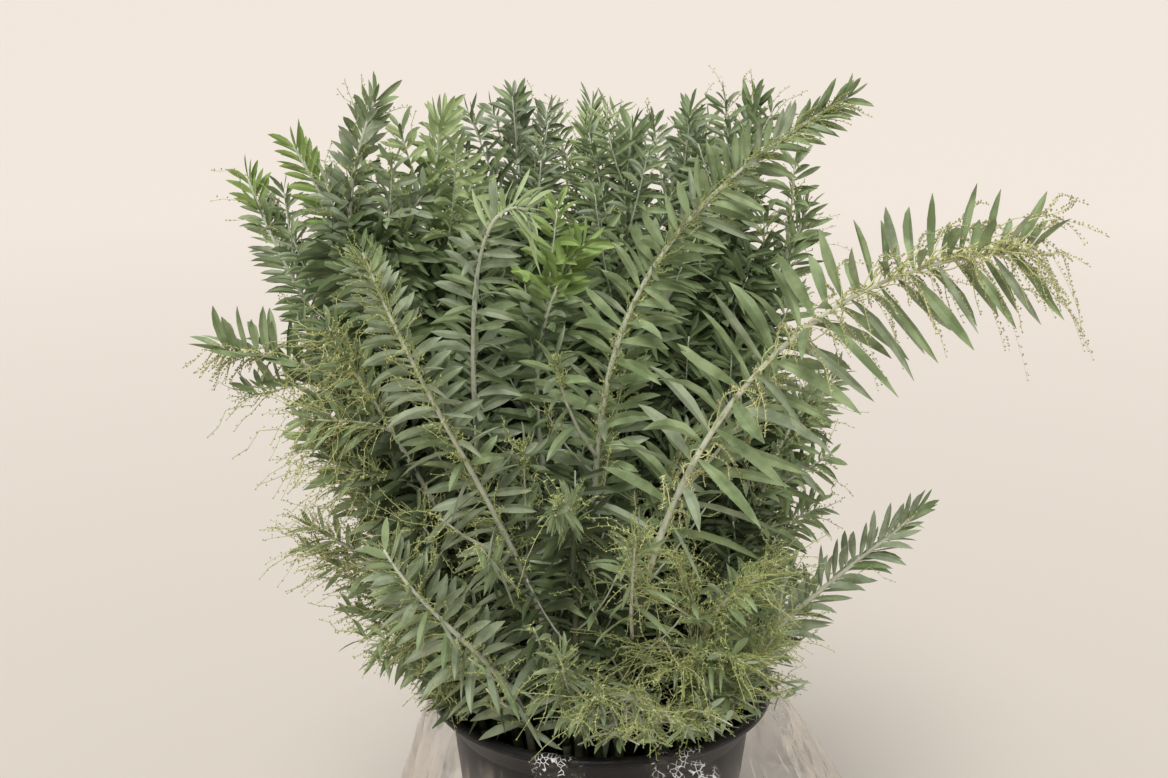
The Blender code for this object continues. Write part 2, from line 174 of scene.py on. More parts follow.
RACEME_LIFTS = {
    "right_tall": (6, 32),
    "front_left": (8, 50),
    "low_right": (6, 30),
    "low_right_front": (6, 40),
    "right_long": (10, 55),
    "left_low": (10, 50),
    "left_front": (35, 90),
    "left_inner": (35, 90),
}
RACEME_HIDING = 0.75
RACEME_HIDINGS = {"left_front": 0.30, "left_inner": 0.40, "left_mid": 0.40, "low_right_front": 0.30}
LOW_SHOOT_HIDING = 0.40
BUD_RADII = {"green": 0.00090, "ripe": 0.00100, "long": 0.00105}
BUD_FROM = {"green": 0.14, "ripe": 0.14, "long": 0.40}
BUD_OFFSET = 0.0024
BUD_STALK = 0.0004
BUDS = {"green": 10, "ripe": 10, "long": 34}
ROWS_EACH_BUD = 0.65
ZIGZAG = 0.0006
OVERHANG = 0.022
RIM_ROOM = 0.004
# Sprays whose leaves never get the darker tones of painted shade.
LIT = ("right_long", "right_tall", "front_left", "low_left", "nodding", "bright", "low_right_front")
LEAF_RIM_ROOM = 0.003
RIM_FLARE = 1.2
SHOWN = ("right_long", "right_tall", "front_left", "low_left", "low_right", "nodding")
SHOWN_ROOM = 0.050
SHOWN_FROM = {"low_left": 0.004}
# Leaf roots deep inside this envelope, below a height, get darker tones that are painted shade, a paler painted shade
# higher up.
ENVELOPE = (0.170, 0.35)
ENVELOPE_RIGHT = 0.30
SHADE_FROM = 0.062
SHADE_TOP = BUCKET_HEIGHT + 0.34
SHADE_BELOW_TIP = 0.12
HALF_SHADE_FROM = 0.60
CROSSING_SHARE = 0.75

# Where each spray ends and begins. azimuth: round the bucket, 0 at +X. reach: from the axis. height: above
# the rim. mouth: the azimuth at which it leaves the bucket. heading and rise: which way its tip points.
# arch: how boldly it bows on the way. leaf: the size of its leaves. bloom: bud sprays for each leaf root.
# tone: which green its leaves have. fine: how far up its finer shoots go.
Spray = namedtuple("Spray", "azimuth reach height mouth heading rise arch leaf bloom tone fine")
SPRAYS = {
    "right_long": Spray(-31, 0.385, 0.432, -78, 0, -4, 1.25, 1.36, 1.50, "sage", 0.30),
    "right_tall": Spray(-40, 0.234, 0.538, -100, 0, 30, 1.35, 0.95, 0.95, "sage", 0.45),
    "front_left": Spray(-133, 0.258, 0.434, -106, 150, 66, 1.0, 0.87, 0.90, "silver", 0.40),
    "low_left": Spray(-135, 0.241, 0.196, -116, 150, 58, 0.9, 0.80, 0.55, "silver", 0.55),
    "left_inner": Spray(-157, 0.256, 0.265, -157, 170, 45, 1.1, 0.74, 0.70, "deep", 0.62),
    "low_right": Spray(-19, 0.272, 0.194, -30, -4, 46, 0.9, 0.76, 0.20, "silver", 0.30),
    "left_low": Spray(-176, 0.321, 0.306, -176, 178, 0, 1.5, 0.84, 0.80, "deep", 0.50),
    "left_high": Spray(174, 0.296, 0.444, 174, 150, 68, 1.1, 0.56, 0.05, "sage", 0.70),
    "left_top": Spray(-175, 0.249, 0.481, -175, 180, 62, 1.1, 0.60, 0.08, "sage", 0.70),
    "top_left_tall": Spray(-161, 0.185, 0.523, -161, -10, 66, 1.3, 0.64, 0.20, "silver", 0.75),
    "top_centre_left": Spray(180, 0.128, 0.502, 180, 30, 76, 1.0, 0.68, 0.05, "fresh", 0.80),
    "nodding": Spray(-108, 0.169, 0.453, -160, 0, -30, 0.6, 0.80, 0.0, "silver", 0.40),
    "bright": Spray(-101, 0.061, 0.410, -120, 0, 50, 1.0, 0.75, 0.00, "sage", 0.70),
    "centre_front": Spray(-97, 0.292, 0.266, -97, -98, 10, 1.5, 0.62, 0.20, "deep", 0.50),
    "low_centre": Spray(-92, 0.208, 0.085, -70, -90, 22, 1.2, 0.60, 1.0, "silver", 0.50),
    "low_right_front": Spray(-59, 0.234, 0.184, -59, -25, 36, 1.1, 0.66, 1.15, "sage", 0.70),
    "right_mid": Spray(0, 0.179, 0.266, 0, 0, 56, 1.1, 0.68, 0.40, "sage", 0.65),
    "right_upper": Spray(19, 0.185, 0.413, 19, 25, 70, 1.1, 0.68, 0.25, "sage", 0.70),
    "left_mid": Spray(-169, 0.250, 0.165, -169, 178, 30, 1.2, 0.66, 1.15, "deep", 0.70),
    "left_front": Spray(-151, 0.245, 0.359, -151, 175, 60, 1.1, 0.70, 1.9, "sage", 0.65),
    "back_left": Spray(122, 0.141, 0.500, 122, 100, 78, 1.1, 0.64, 0.08, "silver", 0.90),
    "back_centre": Spray(93, 0.160, 0.487, 93, 80, 80, 1.1, 0.64, 0.08, "fresh", 0.90),
    "back_inner": Spray(72, 0.084, 0.479, 72, 60, 80, 1.1, 0.60, 0.08, "sage", 0.90),
    "back_right": Spray(62, 0.171, 0.484, 62, 60, 76, 1.1, 0.64, 0.08, "silver", 0.90),
    "back_far_right": Spray(37, 0.166, 0.498, 37, 40, 74, 1.1, 0.64, 0.08, "sage", 0.90),
}
REAR_RING = {"count": 4, "first": 148, "last": 34, "reach": (0.290, 0.265), "height": (0.330, 0.240), "rise": 45}

# Camera of the photograph
CAMERA_PLACE = (-0.0150, -1.5279, 1.0752)
CAMERA_PITCH = 17.34
LENS = 58.685
SENSOR = 36.0

# Single side shoots that the photograph shows: the share of the spray where each leaves it, its heading,
# its rise and its length.
EXTRA_SHOOTS = {
    "left_high": ((0.78, 180, 82, 0.095), (0.66, 0, 70, 0.080)),
    "left_top": ((0.72, 180, 60, 0.095), (0.74, 0, 64, 0.085), (0.60, 0, 60, 0.100)),
    "top_left_tall": ((0.74, 185, 74, 0.080), (0.68, 0, 66, 0.080), (0.58, 0, 58, 0.110), (0.62, 185, 66, 0.100), (0.72, 5, 56, 0.095)),
    "top_centre_left": ((0.74, 185, 76, 0.130), (0.74, 10, 72, 0.090), (0.60, 185, 62, 0.110), (0.52, 185, 50, 0.120), (0.80, 187, 45, 0.080)),
    "back_left": ((0.72, 180, 62, 0.115), (0.64, 180, 60, 0.135), (0.70, 0, 82, 0.135)),
    "back_centre": ((0.74, 180, 76, 0.100), (0.74, 0, 74, 0.095)),
    "back_right": ((0.76, 0, 74, 0.090), (0.70, 180, 62, 0.080)),
    "back_far_right": ((0.62, 0, 72, 0.130), (0.56, -20, 66, 0.110), (0.76, 180, 74, 0.090)),
    "right_upper": ((0.85, 20, 86, 0.105), (0.70, 90, 86, 0.120)),
    "left_low": ((0.74, 180, -8, 0.080),),
    "left_front": ((0.75, 182, 10, 0.070), (0.60, 182, 20, 0.080)),
    "bright": ((0.80, 30, 82, 0.105), (0.72, 0, 76, 0.100), (0.68, 160, 84, 0.100)),
    "right_mid": ((0.50, 0, 30, 0.066), (0.62, -6, 40, 0.076), (0.74, 0, 56, 0.062)),
    "left_inner": ((0.86, 178, 74, 0.068), (0.78, 178, 60, 0.070)),
    "low_right_front": ((0.30, -125, 30, 0.070), (0.45, -152, 18, 0.078), (0.60, -160, 40, 0.070), (0.5, -60, 10, 0.06)),
    "left_mid": ((0.72, 178, 14, 0.060), (0.60, 185, 20, 0.060)),
}

# Sprays with bright young tips, and from what share of their length. Sprays with fewer leaves than buds.
FRESH_FROM = {"left_top": (0.72, "bright"), "left_high": (0.94, "bright"), "top_centre_left": (0.84, "fresh")}
BRIGHT_LEVEL = 0.690
SLIM = {
    "front_left": 1.15,
    "low_left": 1.15,
    "top_left_tall": 1.25,
    "top_centre_left": 1.15,
    "left_top": 1.10,
    "back_centre": 0.65,
    "low_right": 0.95,
    "bright": 1.25,
    "right_long": 0.82,
}
LEAF_GAPS = {"low_right_front": 0.62, "low_centre": 0.35, "left_mid": 0.45, "left_inner": 0.20}

# Leaf tones, each a lighter and a darker green that change at random. The last two are not greens of the leaves' own
# but painted shade for leaves deep inside the bunch, the first of them paler, for higher up.
TONES = {
    "silver": ((0.400, 0.475, 0.325), (0.190, 0.240, 0.135)),
    "sage": ((0.350, 0.450, 0.235), (0.165, 0.228, 0.098)),
    "deep": ((0.360, 0.445, 0.240), (0.180, 0.240, 0.110)),
    "fresh": ((0.540, 0.655, 0.340), (0.350, 0.450, 0.195)),
    "bright": ((0.340, 0.475, 0.150), (0.200, 0.300, 0.075)),
    "young": ((0.540, 0.670, 0.360), (0.390, 0.500, 0.245)),
    "painted_half_shade": ((0.200, 0.270, 0.120), (0.110, 0.155, 0.062)),
    "shade": ((0.115, 0.157, 0.066), (0.052, 0.075, 0.028)),
}
# The tones that are painted shade.
PAINTED_SHADE_TONES = ("painted_half_shade", "shade")
NEXT_TONE = {"silver": "sage", "sage": "silver", "deep": "sage", "fresh": "sage"}


def direction_of(heading, rise):
    a, e = math.radians(heading), math.radians(rise)
    return Vector((math.cos(a) * math.cos(e), math.sin(a) * math.cos(e), math.sin(e)))


class Line:
    """A smooth line through space, read by the distance along it, with a frame that turns with it."""

    def __init__(self, points):
        self.points = [Vector(p) for p in points]
        steps = [(b - a).length for a, b in zip(self.points, self.points[1:])]
        self.along = np.concatenate([[0.0], np.cumsum(steps)])
        self.length = float(self.along[-1])
        self.array = np.array(self.points)
        side = self.direction(0.0).orthogonal().normalized()
        self.sides = []
        for distance in self.along:
            ahead = self.direction(float(distance))
            side = (side - ahead * side.dot(ahead)).normalized()
            self.sides.append(side.copy())

    def at(self, distance):
        return Vector([float(np.interp(distance, self.along, self.array[:, k])) for k in range(3)])

    def direction(self, distance):
        near = min(max(distance, SAMPLE / 2), self.length - SAMPLE / 2)
        return (self.at(near + SAMPLE / 2) - self.at(near - SAMPLE / 2)).normalized()

    def frame(self, distance):
        ahead = self.direction(distance)
        nearest_point = int(np.argmin(np.abs(self.along - distance)))
        side = self.sides[nearest_point]
        side = (side - ahead * side.dot(ahead)).normalized()
        return ahead, side, ahead.cross(side)

    def distance_at_height(self, height):
        return float(self.along[int(np.argmax(self.array[:, 2] >= height))])


def bent_line(start, way_out, end, way_in, arch):
    """Points of a line that leaves start along way_out and arrives at end along way_in."""
    pull = arch * (end - start).length
    count = max(4, round((end - start).length * 1.2 / SAMPLE))
    points = []
    for i in range(count + 1):
        t = i / count
        points.append(
            start * (2 * t**3 - 3 * t**2 + 1)
            + way_out * (pull * (t**3 - 2 * t**2 + t))
            + end * (3 * t**2 - 2 * t**3)
            + way_in * (pull * (t**3 - t**2))
        )
    return points


def all_sprays():
    sprays = dict(SPRAYS)
    for i in range(REAR_RING["count"]):
        share = i / (REAR_RING["count"] - 1)
        azimuth = REAR_RING["first"] + (REAR_RING["last"] - REAR_RING["first"]) * share
        reach, height = REAR_RING["reach"][i % 2], REAR_RING["height"][i % 2]
        end = (azimuth, reach, height, azimuth, azimuth, REAR_RING["rise"], 1.1)
        sprays[f"rear_{i + 1}"] = Spray(*end, 0.65, 0.12, ("sage", "deep")[i % 2], 0.80)
    return sprays


def spread_out(places, gap, limit):
    places = np.array(places)
    for _ in range(200):
        apart = places[:, None] - places[None]
        distance = np.linalg.norm(apart, axis=2) + np.eye(len(places))
        short = np.clip(gap - distance, 0, None) * (1 - np.eye(len(places)))
        places = places + 0.5 * (apart / distance[..., None] * short[..., None]).sum(axis=1)
        radius = np.linalg.norm(places, axis=1, keepdims=True)
        places = places * np.minimum(1, limit / np.maximum(radius, 1e-9))
    return places


def mouth_places(sprays):
    places = []
    for s in sprays.values():
        lean = s.reach / (s.reach + s.height)
        radius = MOUTH_LIMIT * min(1.0, lean / MOUTH_LEAN)
        places.append((radius * math.cos(math.radians(s.mouth)), radius * math.sin(math.radians(s.mouth))))
    return spread_out(places, MOUTH_SPACING, MOUTH_LIMIT)


def stem_line(spray, mouth):
    at_rim = Vector((mouth[0], mouth[1], BUCKET_HEIGHT))
    foot = Vector((mouth[0] * FOOT_SHARE, mouth[1] * FOOT_SHARE, 0))
    lean = (at_rim - foot).normalized()
    tilt = math.sqrt(1 - lean.z**2)
    foot += lean * ((FLOOR + MEETING_GAP + STEM_RADIUS * tilt) / lean.z)
    tip = direction_of(spray.azimuth, 0) * spray.reach + Vector((0, 0, BUCKET_HEIGHT + spray.height))
    count = round((at_rim - foot).length / SAMPLE)
    inside = [foot.lerp(at_rim, i / count) for i in range(count)]
    return Line(inside + bent_line(at_rim, lean, tip, direction_of(spray.heading, spray.rise), spray.arch))


def in_steps(line, start, end, step):
    count = max(3, round((end - start) / step))
    return Line([line.at(start + (end - start) * i / count) for i in range(count + 1)])


def spray_axis(line, start):
    return Line([line.at(start)] + in_steps(line, start + STRAIGHT_START, line.length, AXIS_STEP).points)


def filled(line):
    count = math.ceil(line.length / SAMPLE)
    return np.array([line.at(line.length * i / count) for i in range(count + 1)])


def nearest(points, skeleton):
    return np.linalg.norm(points[:, None] - skeleton[None], axis=2).min(axis=1)


def clear_of_bucket(points):
    radius = np.hypot(points[:, 0], points[:, 1])
    low = points[:, 2] < BUCKET_HEIGHT + 0.006
    return not np.any(low & (radius > MOUTH_LIMIT + 0.008))


def side_shoots(axis, others):
    """The side shoots that the solids have, found by the same rule."""
    shoots = []
    for share in SHOOT_SHARES:
        distance = axis.length * share
        root = axis.at(distance)
        ahead, side, across = axis.frame(distance)
        length = SHOOT_LENGTH * (axis.length - distance)
        best, best_room = None, SHOOT_CLEARANCE
        for turn in range(12):
            angle = math.radians(30 * turn)
            outward = side * math.cos(angle) + across * math.sin(angle)
            way_out = ahead * math.cos(SHOOT_SPREAD) + outward * math.sin(SHOOT_SPREAD)
            end = root + (way_out * 0.8 + ahead * 0.35) * length
            shoot = Line(bent_line(root, way_out, end, (ahead + outward * 0.3).normalized(), 1.0))
            beyond = shoot.array[len(shoot.array) // 3 :]
            room = nearest(beyond, np.vstack([others, *[filled(s) for s in shoots]])).min()
            if room > best_room and clear_of_bucket(shoot.array):
                best, best_room = in_steps(shoot, 0, shoot.length, AXIS_STEP), room
        if best is not None:
            shoots.append(best)
    return shoots


def film_radius(points):
    """How far out the film's skirt hangs at most where these points are."""
    depth = np.clip((BUCKET_HEIGHT - RIM_BEAD - points[:, 2]) / (FILM_DROP - RIM_BEAD), 0, 1)
    lean = 1 + FILM_LEAN * np.cos(np.arctan2(points[:, 1], points[:, 0]))
    return RIM_RADIUS + FILM_GAP + (FILM_FLARE * lean + PLEAT_DEPTH) * depth


def free(points, room, rim_room=RIM_ROOM, overhang=False):
    """Whether leaf or bud spray points stay inside the room and clear of the bucket's rim and film."""
    points = np.array(points)
    if np.any(points < room[0]) or np.any(points > room[1]):
        return False
    radius = np.hypot(points[:, 0], points[:, 1])
    above = points[:, 2] - BUCKET_HEIGHT
    if overhang:
        return not np.any((above < rim_room) & (radius < film_radius(points) + 2 * RIM_ROOM))
    inside = (above < rim_room) & (radius < MOUTH_LIMIT + 0.010)
    return bool(np.all(inside | ((above > rim_room) & (radius < RIM_RADIUS + 0.008 + RIM_FLARE * above))))


def in_front_of_shown(points, shown):
    """Which points lie close in front of the axis of a spray that stands out in the photograph."""
    apart = np.linalg.norm(points[:, None] - shown[None], axis=2)
    which = apart.argmin(axis=1)
    behind = np.hypot(shown[which, 0], shown[which, 1]) - 0.012
    close = apart.min(axis=1) < SHOWN_ROOM
    return close & (np.hypot(points[:, 0], points[:, 1]) > behind)


def in_shade(root, top):
    """Whether a leaf root below this height lies deep inside the bunch, by how far it is inside the bunch's
    envelope, which stands up straight on the right and opens like a funnel on the other sides. Such leaves
    are painted in darker tones as painted shade."""
    radius = math.hypot(root.x, root.y)
    opening = ENVELOPE[1] - ENVELOPE_RIGHT * max(0.0, root.x / max(radius, 0.001)) ** 2
    edge = ENVELOPE[0] + opening * (root.z - BUCKET_HEIGHT)
    return root.z < top and edge - radius > SHADE_FROM


def fine_shoots(line, start, spray, extra, rng):
    """Finer shoots up a spray, turned round it step by step, but not on its outer side higher up, where
    the bunch's outline is drawn by the spray itself. Then a few that the photograph shows."""
    upright = spray.rise > 60
    away = direction_of(spray.azimuth, 0)
    made = []
    span = line.length - start
    turn = rng.uniform(0, 2 * math.pi)
    for distance in np.arange(start + FINE_FROM, start + span * spray.fine, FINE_EVERY):
        turn += math.radians(137.5)
        share = (distance - start) / span
        spread = math.radians(rng.uniform(22, 38) if upright else rng.uniform(28, 48))
        length = FINE_LENGTH * rng.uniform(0.7, 1.15) * (1.1 if upright else 1.0 - 0.35 * share)
        length = min(length, 0.85 * (line.length - distance))
        root = line.at(distance)
        ahead, side, across = line.frame(distance)
        outward = side * math.cos(turn) + across * math.sin(turn)
        if share > OUTER_FROM and outward.dot(away) > OUTER_LIMIT and away.y < OUTER_BACK:
            continue
        way_out = ahead * math.cos(spread) + outward * math.sin(spread)
        end = root + (way_out * 0.85 + ahead * 0.2 + Vector((0, 0, 0.1))) * length
        points = bent_line(root, way_out, end, (ahead + outward * 0.35).normalized(), 1.0)
        if length > 3 * SAMPLE and clear_of_bucket(np.array(points)):
            made.append(Line(points))
    for share, heading, rise, length in extra:
        root = line.at(start + span * share)
        outward = direction_of(heading, rise)
        way_out = (line.direction(start + span * share) + outward).normalized()
        made.append(Line(bent_line(root, way_out, root + outward * length, outward, 1.0)))
    return made


def fringe_shoots(line, start, rng):
    """Short level shoots from a stem at the bucket's mouth that reach out to the rim and hide the inside."""
    made = []
    for i in range(FRINGE_SHOOTS):
        root = line.at(start + FRINGE_ROOT + 0.004 * i)
        radius = math.hypot(root.x, root.y)
        aside = math.radians(rng.uniform(-70, 70))
        outward = direction_of(math.degrees(math.atan2(root.y, root.x) + aside), 0)
        reach = math.sqrt(FRINGE_RADIUS**2 - (radius * math.sin(aside)) ** 2) - radius * math.cos(aside)
        if FRINGE_REACH[0] < reach < FRINGE_REACH[1]:
            end = root + outward * reach
            end.z = BUCKET_HEIGHT + FRINGE_LEVEL
            made.append(Line(bent_line(root, outward, end, outward, 1.0)))
    return made


def rim_shoots(line, start, room, rng):
    """Low shoots round a stem where it leaves the bucket, which fill the mouth and lean over the rim."""
    made = []
    at_mouth = line.at(start)
    away = math.degrees(math.atan2(at_mouth.y, at_mouth.x))
    for i in range(RIM_SHOOTS):
        heading = away + rng.uniform(-75, 75)
        low = i % 2 == 1
        rise = rng.uniform(4, 26) if low else rng.uniform(10, 60)
        root = line.at(start + (0.030 if low else 0.014) + 0.006 * i)
        outward = direction_of(heading, rise)
        length = RIM_SHOOT_LENGTH * rng.uniform(0.7, 1.2) * (0.70 if outward.x > 0.5 else 1.0)
        way_out = (line.direction(start) + outward).normalized()
        points = bent_line(root, way_out, root + outward * length, direction_of(heading, rise - 20), 1.0)
        if clear_of_bucket(np.array(points)) and free(points[-3:], room):
            made.append(Line(points))
    return made


def unit(v):
    return v / np.linalg.norm(v, axis=-1, keepdims=True)


def mesh_object(name, look, points, *face_sets):
    """A smooth mesh object from arrays: points (n, 3), and faces (m, 3) or (m, 4)."""
    mesh = bpy.data.meshes.new(name)
    sizes = np.concatenate([np.full(len(faces), faces.shape[1]) for faces in face_sets])
    corners = np.concatenate([np.ascontiguousarray(faces, np.int32).ravel() for faces in face_sets])
    mesh.vertices.add(len(points))
    mesh.vertices.foreach_set("co", np.ascontiguousarray(points, np.float32).ravel())
    mesh.loops.add(len(corners))
    mesh.loops.foreach_set("vertex_index", corners)
    mesh.polygons.add(len(sizes))
    mesh.polygons.foreach_set("loop_start", (np.cumsum(sizes) - sizes).astype(np.int32))
    mesh.polygons.foreach_set("use_smooth", np.full(len(sizes), True))
    mesh.update(calc_edges=True)
    mesh.materials.append(look)
    made = bpy.data.objects.new(name, mesh)
    bpy.context.scene.collection.objects.link(made)
    return made


def joined(parts):
    """Several (points, faces, faces...) groups as one."""
    offset, gathered = 0, [[] for _ in parts[0]]
    for points, *face_sets in parts:
        gathered[0].append(points)
        for kept, faces in zip(gathered[1:], face_sets):
            kept.append(faces + offset)
        offset += len(points)
    return [np.vstack(kept) for kept in gathered]


def tube(line, start, end, radii, step, sides, relief=None):
    """A tube along part of a line, closed at both ends, as points, quads and triangles."""
    count = max(3, math.ceil((end - start) / step))
    reach = np.linspace(start, end, count + 1)
    rings = [(line.at(float(distance)), *line.frame(float(distance))[1:]) for distance in reach]
    centre, side, across = (np.array([ring[k] for ring in rings])[:, None] for k in range(3))
    turn = np.linspace(0, 2 * math.pi, sides, endpoint=False)
    radius = np.interp(reach, *radii)[:, None] * np.ones(sides)
    if relief is not None:
        radius = radius * relief(reach[:, None], turn[None])
    outward = side * np.cos(turn)[None, :, None] + across * np.sin(turn)[None, :, None]
    points = (centre + radius[..., None] * outward).reshape(-1, 3)
    points = np.vstack([points, centre[0], centre[-1]])
    i, j = np.arange(count)[:, None], np.arange(sides)[None]
    k = (j + 1) % sides
    quads = np.stack([i * sides + j, i * sides + k, (i + 1) * sides + k, (i + 1) * sides + j], axis=-1)
    j, k, last = j.ravel(), k.ravel(), count * sides
    foot = np.stack([np.full(sides, last + sides), k, j], axis=1)
    tip = np.stack([np.full(sides, last + sides + 1), last + j, last + k], axis=1)
    return points, quads.reshape(-1, 4), np.vstack([foot, tip])


class Buds:
    """Gathers the roots and directions of leaves and bud sprays while the axes are walked."""

    def __init__(self):
        self.rows = {}

    def add(self, kind, *values):
        self.rows.setdefault(kind, []).append(np.concatenate([np.ravel(v) for v in values]))

    def table(self, kind):
        return np.array(self.rows.get(kind, np.zeros((0, 16))))


def size_at(share, taper):
    """How large a leaf is at this share of its axis, next to the lowest ones."""
    return 1 - taper * share**2.5


def leaf_roots(span, leaf, taper, thinning):
    """Places along an axis for its leaves, closer together where they are smaller."""
    every = LEAF_EVERY * leaf**0.8 * thinning
    places, reached = [], 0.3 * every
    while reached < span:
        places.append(reached)
        reached += every * size_at(reached / span, taper)
    return places


def clothe(buds, line, start, name, spray, main, gaps, room, shown, rng):
    """Deals out leaves in a spiral along one axis, each with the way it points and how it lies, and bud
    sprays from some of the leaf roots."""
    span = line.length - start - (TIP_TRIMS.get(name, TIP_TRIM) if main else 0)
    turn = rng.uniform(0, 2 * math.pi)
    hanging = main and spray.rise < HANGING_RISE
    flat_way = direction_of(spray.heading + 90, 0) if spray.rise < 50 else direction_of(spray.azimuth, 0)
    flatness = 0.60 if spray.rise < 50 else 0.40
    if name in FACING:
        flat_way, flatness = direction_of(90, 0), FACING[name]
    lift_up = Vector((0, 0, LEAF_LIFTS.get(name, 0.0)))
    widest = SPREADS.get(name, SPREAD) if main else SPREAD
    taper = TAPERS.get(name, UPRIGHT_TAPER if spray.rise > 60 else TIP_TAPER) if main else TIP_TAPER
    closes_from = 0.86 if hanging else 0.72
    thinning = LOOSE.get(name, 1.0) if main else SHOOT_THINNING
    shade_top = SHADE_TOP
    if not main and spray.rise > 60:
        shade_top = max(SHADE_TOP, BUCKET_HEIGHT + spray.height - SHADE_BELOW_TIP)
    for reached in leaf_roots(span, spray.leaf, taper, thinning):
        share = reached / span
        nods = name == "nodding" and main and share > 0.955
        rises = name == "nodding" and main and 0.915 < share <= 0.955
        distance = start + reached
        turn += LEAF_TURN + rng.uniform(-0.17, 0.17)
        ahead, side, across = line.frame(distance)
        outward = side * math.cos(turn) + across * math.sin(turn)
        if main and not nods:
            outward = (outward - flat_way * (flatness * outward.dot(flat_way))).normalized()
        root = line.at(distance)
        closing = max(0.0, (share - closes_from) / (1 - closes_from))
        spread = math.radians(widest - 26 * closing**1.5 + rng.uniform(-8, 8))
        along = ahead * math.cos(spread) + outward * math.sin(spread)
        level = math.hypot(along.x, along.y)
        droop = level * rng.uniform(0.14, 0.55) * (1 - 0.5 * closing)
        along = (along + Vector((0, 0, 0.55 * droop)) + lift_up).normalized()
        scale = size_at(share, taper) * rng.uniform(0.84, 1.10) * (1.0 if main else SHOOT_SIZES.get(name, SHOOT_SIZE))
        if main and share < LOW_FROM.get(name, 0.15) and name not in SHOWN_FROM:
            scale *= LOW_SIZES.get(name, 0.85)
        length = LEAF_LENGTH * spray.leaf * scale
        width = LEAF_WIDTH * (spray.leaf * scale) ** 0.85 * rng.uniform(0.86, 1.08) * SLIM.get(name, 1.0)
        edge = (ahead - along * ahead.dot(along)).normalized()
        roll = rng.uniform(-0.85, 0.85)
        edge = (edge * math.cos(roll) + along.cross(edge) * math.sin(roll)).normalized()
        sickle = rng.uniform(-0.05, 0.05)
        twist = rng.uniform(-0.5, 0.5)
        tone = spray.tone
        young_from, young_tone = FRESH_FROM.get(name, (0.97, "sage"))
        if name == "bright" and root.z > BRIGHT_LEVEL:
            tone = "bright"
        elif main and share > young_from:
            tone = young_tone
        elif rng.random() < 0.22:
            tone = NEXT_TONE[tone]
        # Leaves deep inside the bunch are painted in a darker tone as painted shade, paler higher up, and drawn
        # larger.
        if name not in LIT and in_shade(root, shade_top):
            tone = "painted_half_shade" if root.z > HALF_SHADE_FROM else "shade"
            length *= SHADE_SIZE
            width *= SHADE_SIZE
        if rises and rng.random() < 0.85:
            along = (Vector((0, 0, 1.0)) + outward * 0.45).normalized()
            droop = 0.05
            tone = "young"
            length = LEAF_LENGTH * rng.uniform(0.42, 0.62)
            width = LEAF_WIDTH * 0.46
        elif nods:
            along = (ahead * 0.5 + outward + Vector((0, 0, 0.25))).normalized()
            tone = "young"
            droop = rng.uniform(0.1, 0.55)
            length = LEAF_LENGTH * rng.uniform(0.42, 0.70)
            width = LEAF_WIDTH * 0.42
        tips = [root + along * (length * t) - Vector((0, 0, length * droop * t * t)) for t in (0.6, 1.0)]
        leafy = rng.random() > gaps
        hides = (name not in SHOWN or not main) and in_front_of_shown(np.array(tips), shown).any()
        # A leaf in painted shade gets a second leaf crossing it, which fills the dark inside of the bunch.
        if tone in PAINTED_SHADE_TONES and rng.random() < CROSSING_SHARE and free(tips, room, LEAF_RIM_ROOM):
            crossing = along * 0.5 + along.cross(ahead) * rng.choice((-1, 1))
            buds.add("leaf_" + tone, root, crossing.normalized(), ahead, length, width, -sickle, droop, twist)
        if leafy and not hides and free(tips, room, LEAF_RIM_ROOM):
            buds.add("leaf_" + tone, root, along, edge, length, width, sickle, droop, twist)
        if nods:
            opposite = (ahead * 0.6 - outward + Vector((0, 0, 0.25))).normalized()
            buds.add("leaf_young", root, opposite, edge, length * 0.9, width, -sickle, droop, twist)
        chance = spray.bloom * (1.3 if share > 0.35 else 0.8)
        if name in LONG:
            chance *= 0.25 + 1.25 * share**3
        if tone in PAINTED_SHADE_TONES:
            chance = 0.0
        for _ in range(int(chance + rng.random())):
            if share > 0.98:
                continue
            lift = math.radians(rng.uniform(*RACEME_LIFTS.get(name, (12, 60))))
            away = outward * rng.uniform(0.7, 1.0) + along.cross(ahead) * rng.uniform(-0.8, 0.8)
            way = ahead * math.cos(lift) + away.normalized() * math.sin(lift)
            way += direction_of(spray.azimuth, 0) * 0.2 + Vector((0, 0, 0.75 if hanging else 0.15))
            way.normalize()
            reach = RACEME_LENGTH * rng.uniform(0.45, 1.2) * (RACEME_SIZES.get(name, 0.85) if main or name not in LONG else 0.85)
            sag = rng.uniform(0.35, 1.60) if hanging else rng.uniform(0.05, 0.45)
            if hanging:
                reach *= HANGING_LENGTH / math.hypot(1, sag)
            bow = rng.uniform(-0.45, 0.45) * (0.7 if hanging else BOWS.get(name, 1.0))
            wave = rng.uniform(-0.11, 0.11)
            over_rim = name == "low_left" and rng.random() < 0.4
            stops = [root + way * (reach * t) - Vector((0, 0, reach * sag * t * t)) for t in (0.5, 1.0)]
            veils = (name not in SHOWN or not main) and in_front_of_shown(np.array(stops), shown).any()
            if veils and not over_rim and rng.random() < RACEME_HIDINGS.get(name, RACEME_HIDING):
                continue
            if free(stops, room, overhang=over_rim):
                kind = "long" if hanging else "ripe" if name in RIPE else "green"
                buds.add("raceme_" + kind, root, way, outward, reach, sag, bow, wave)


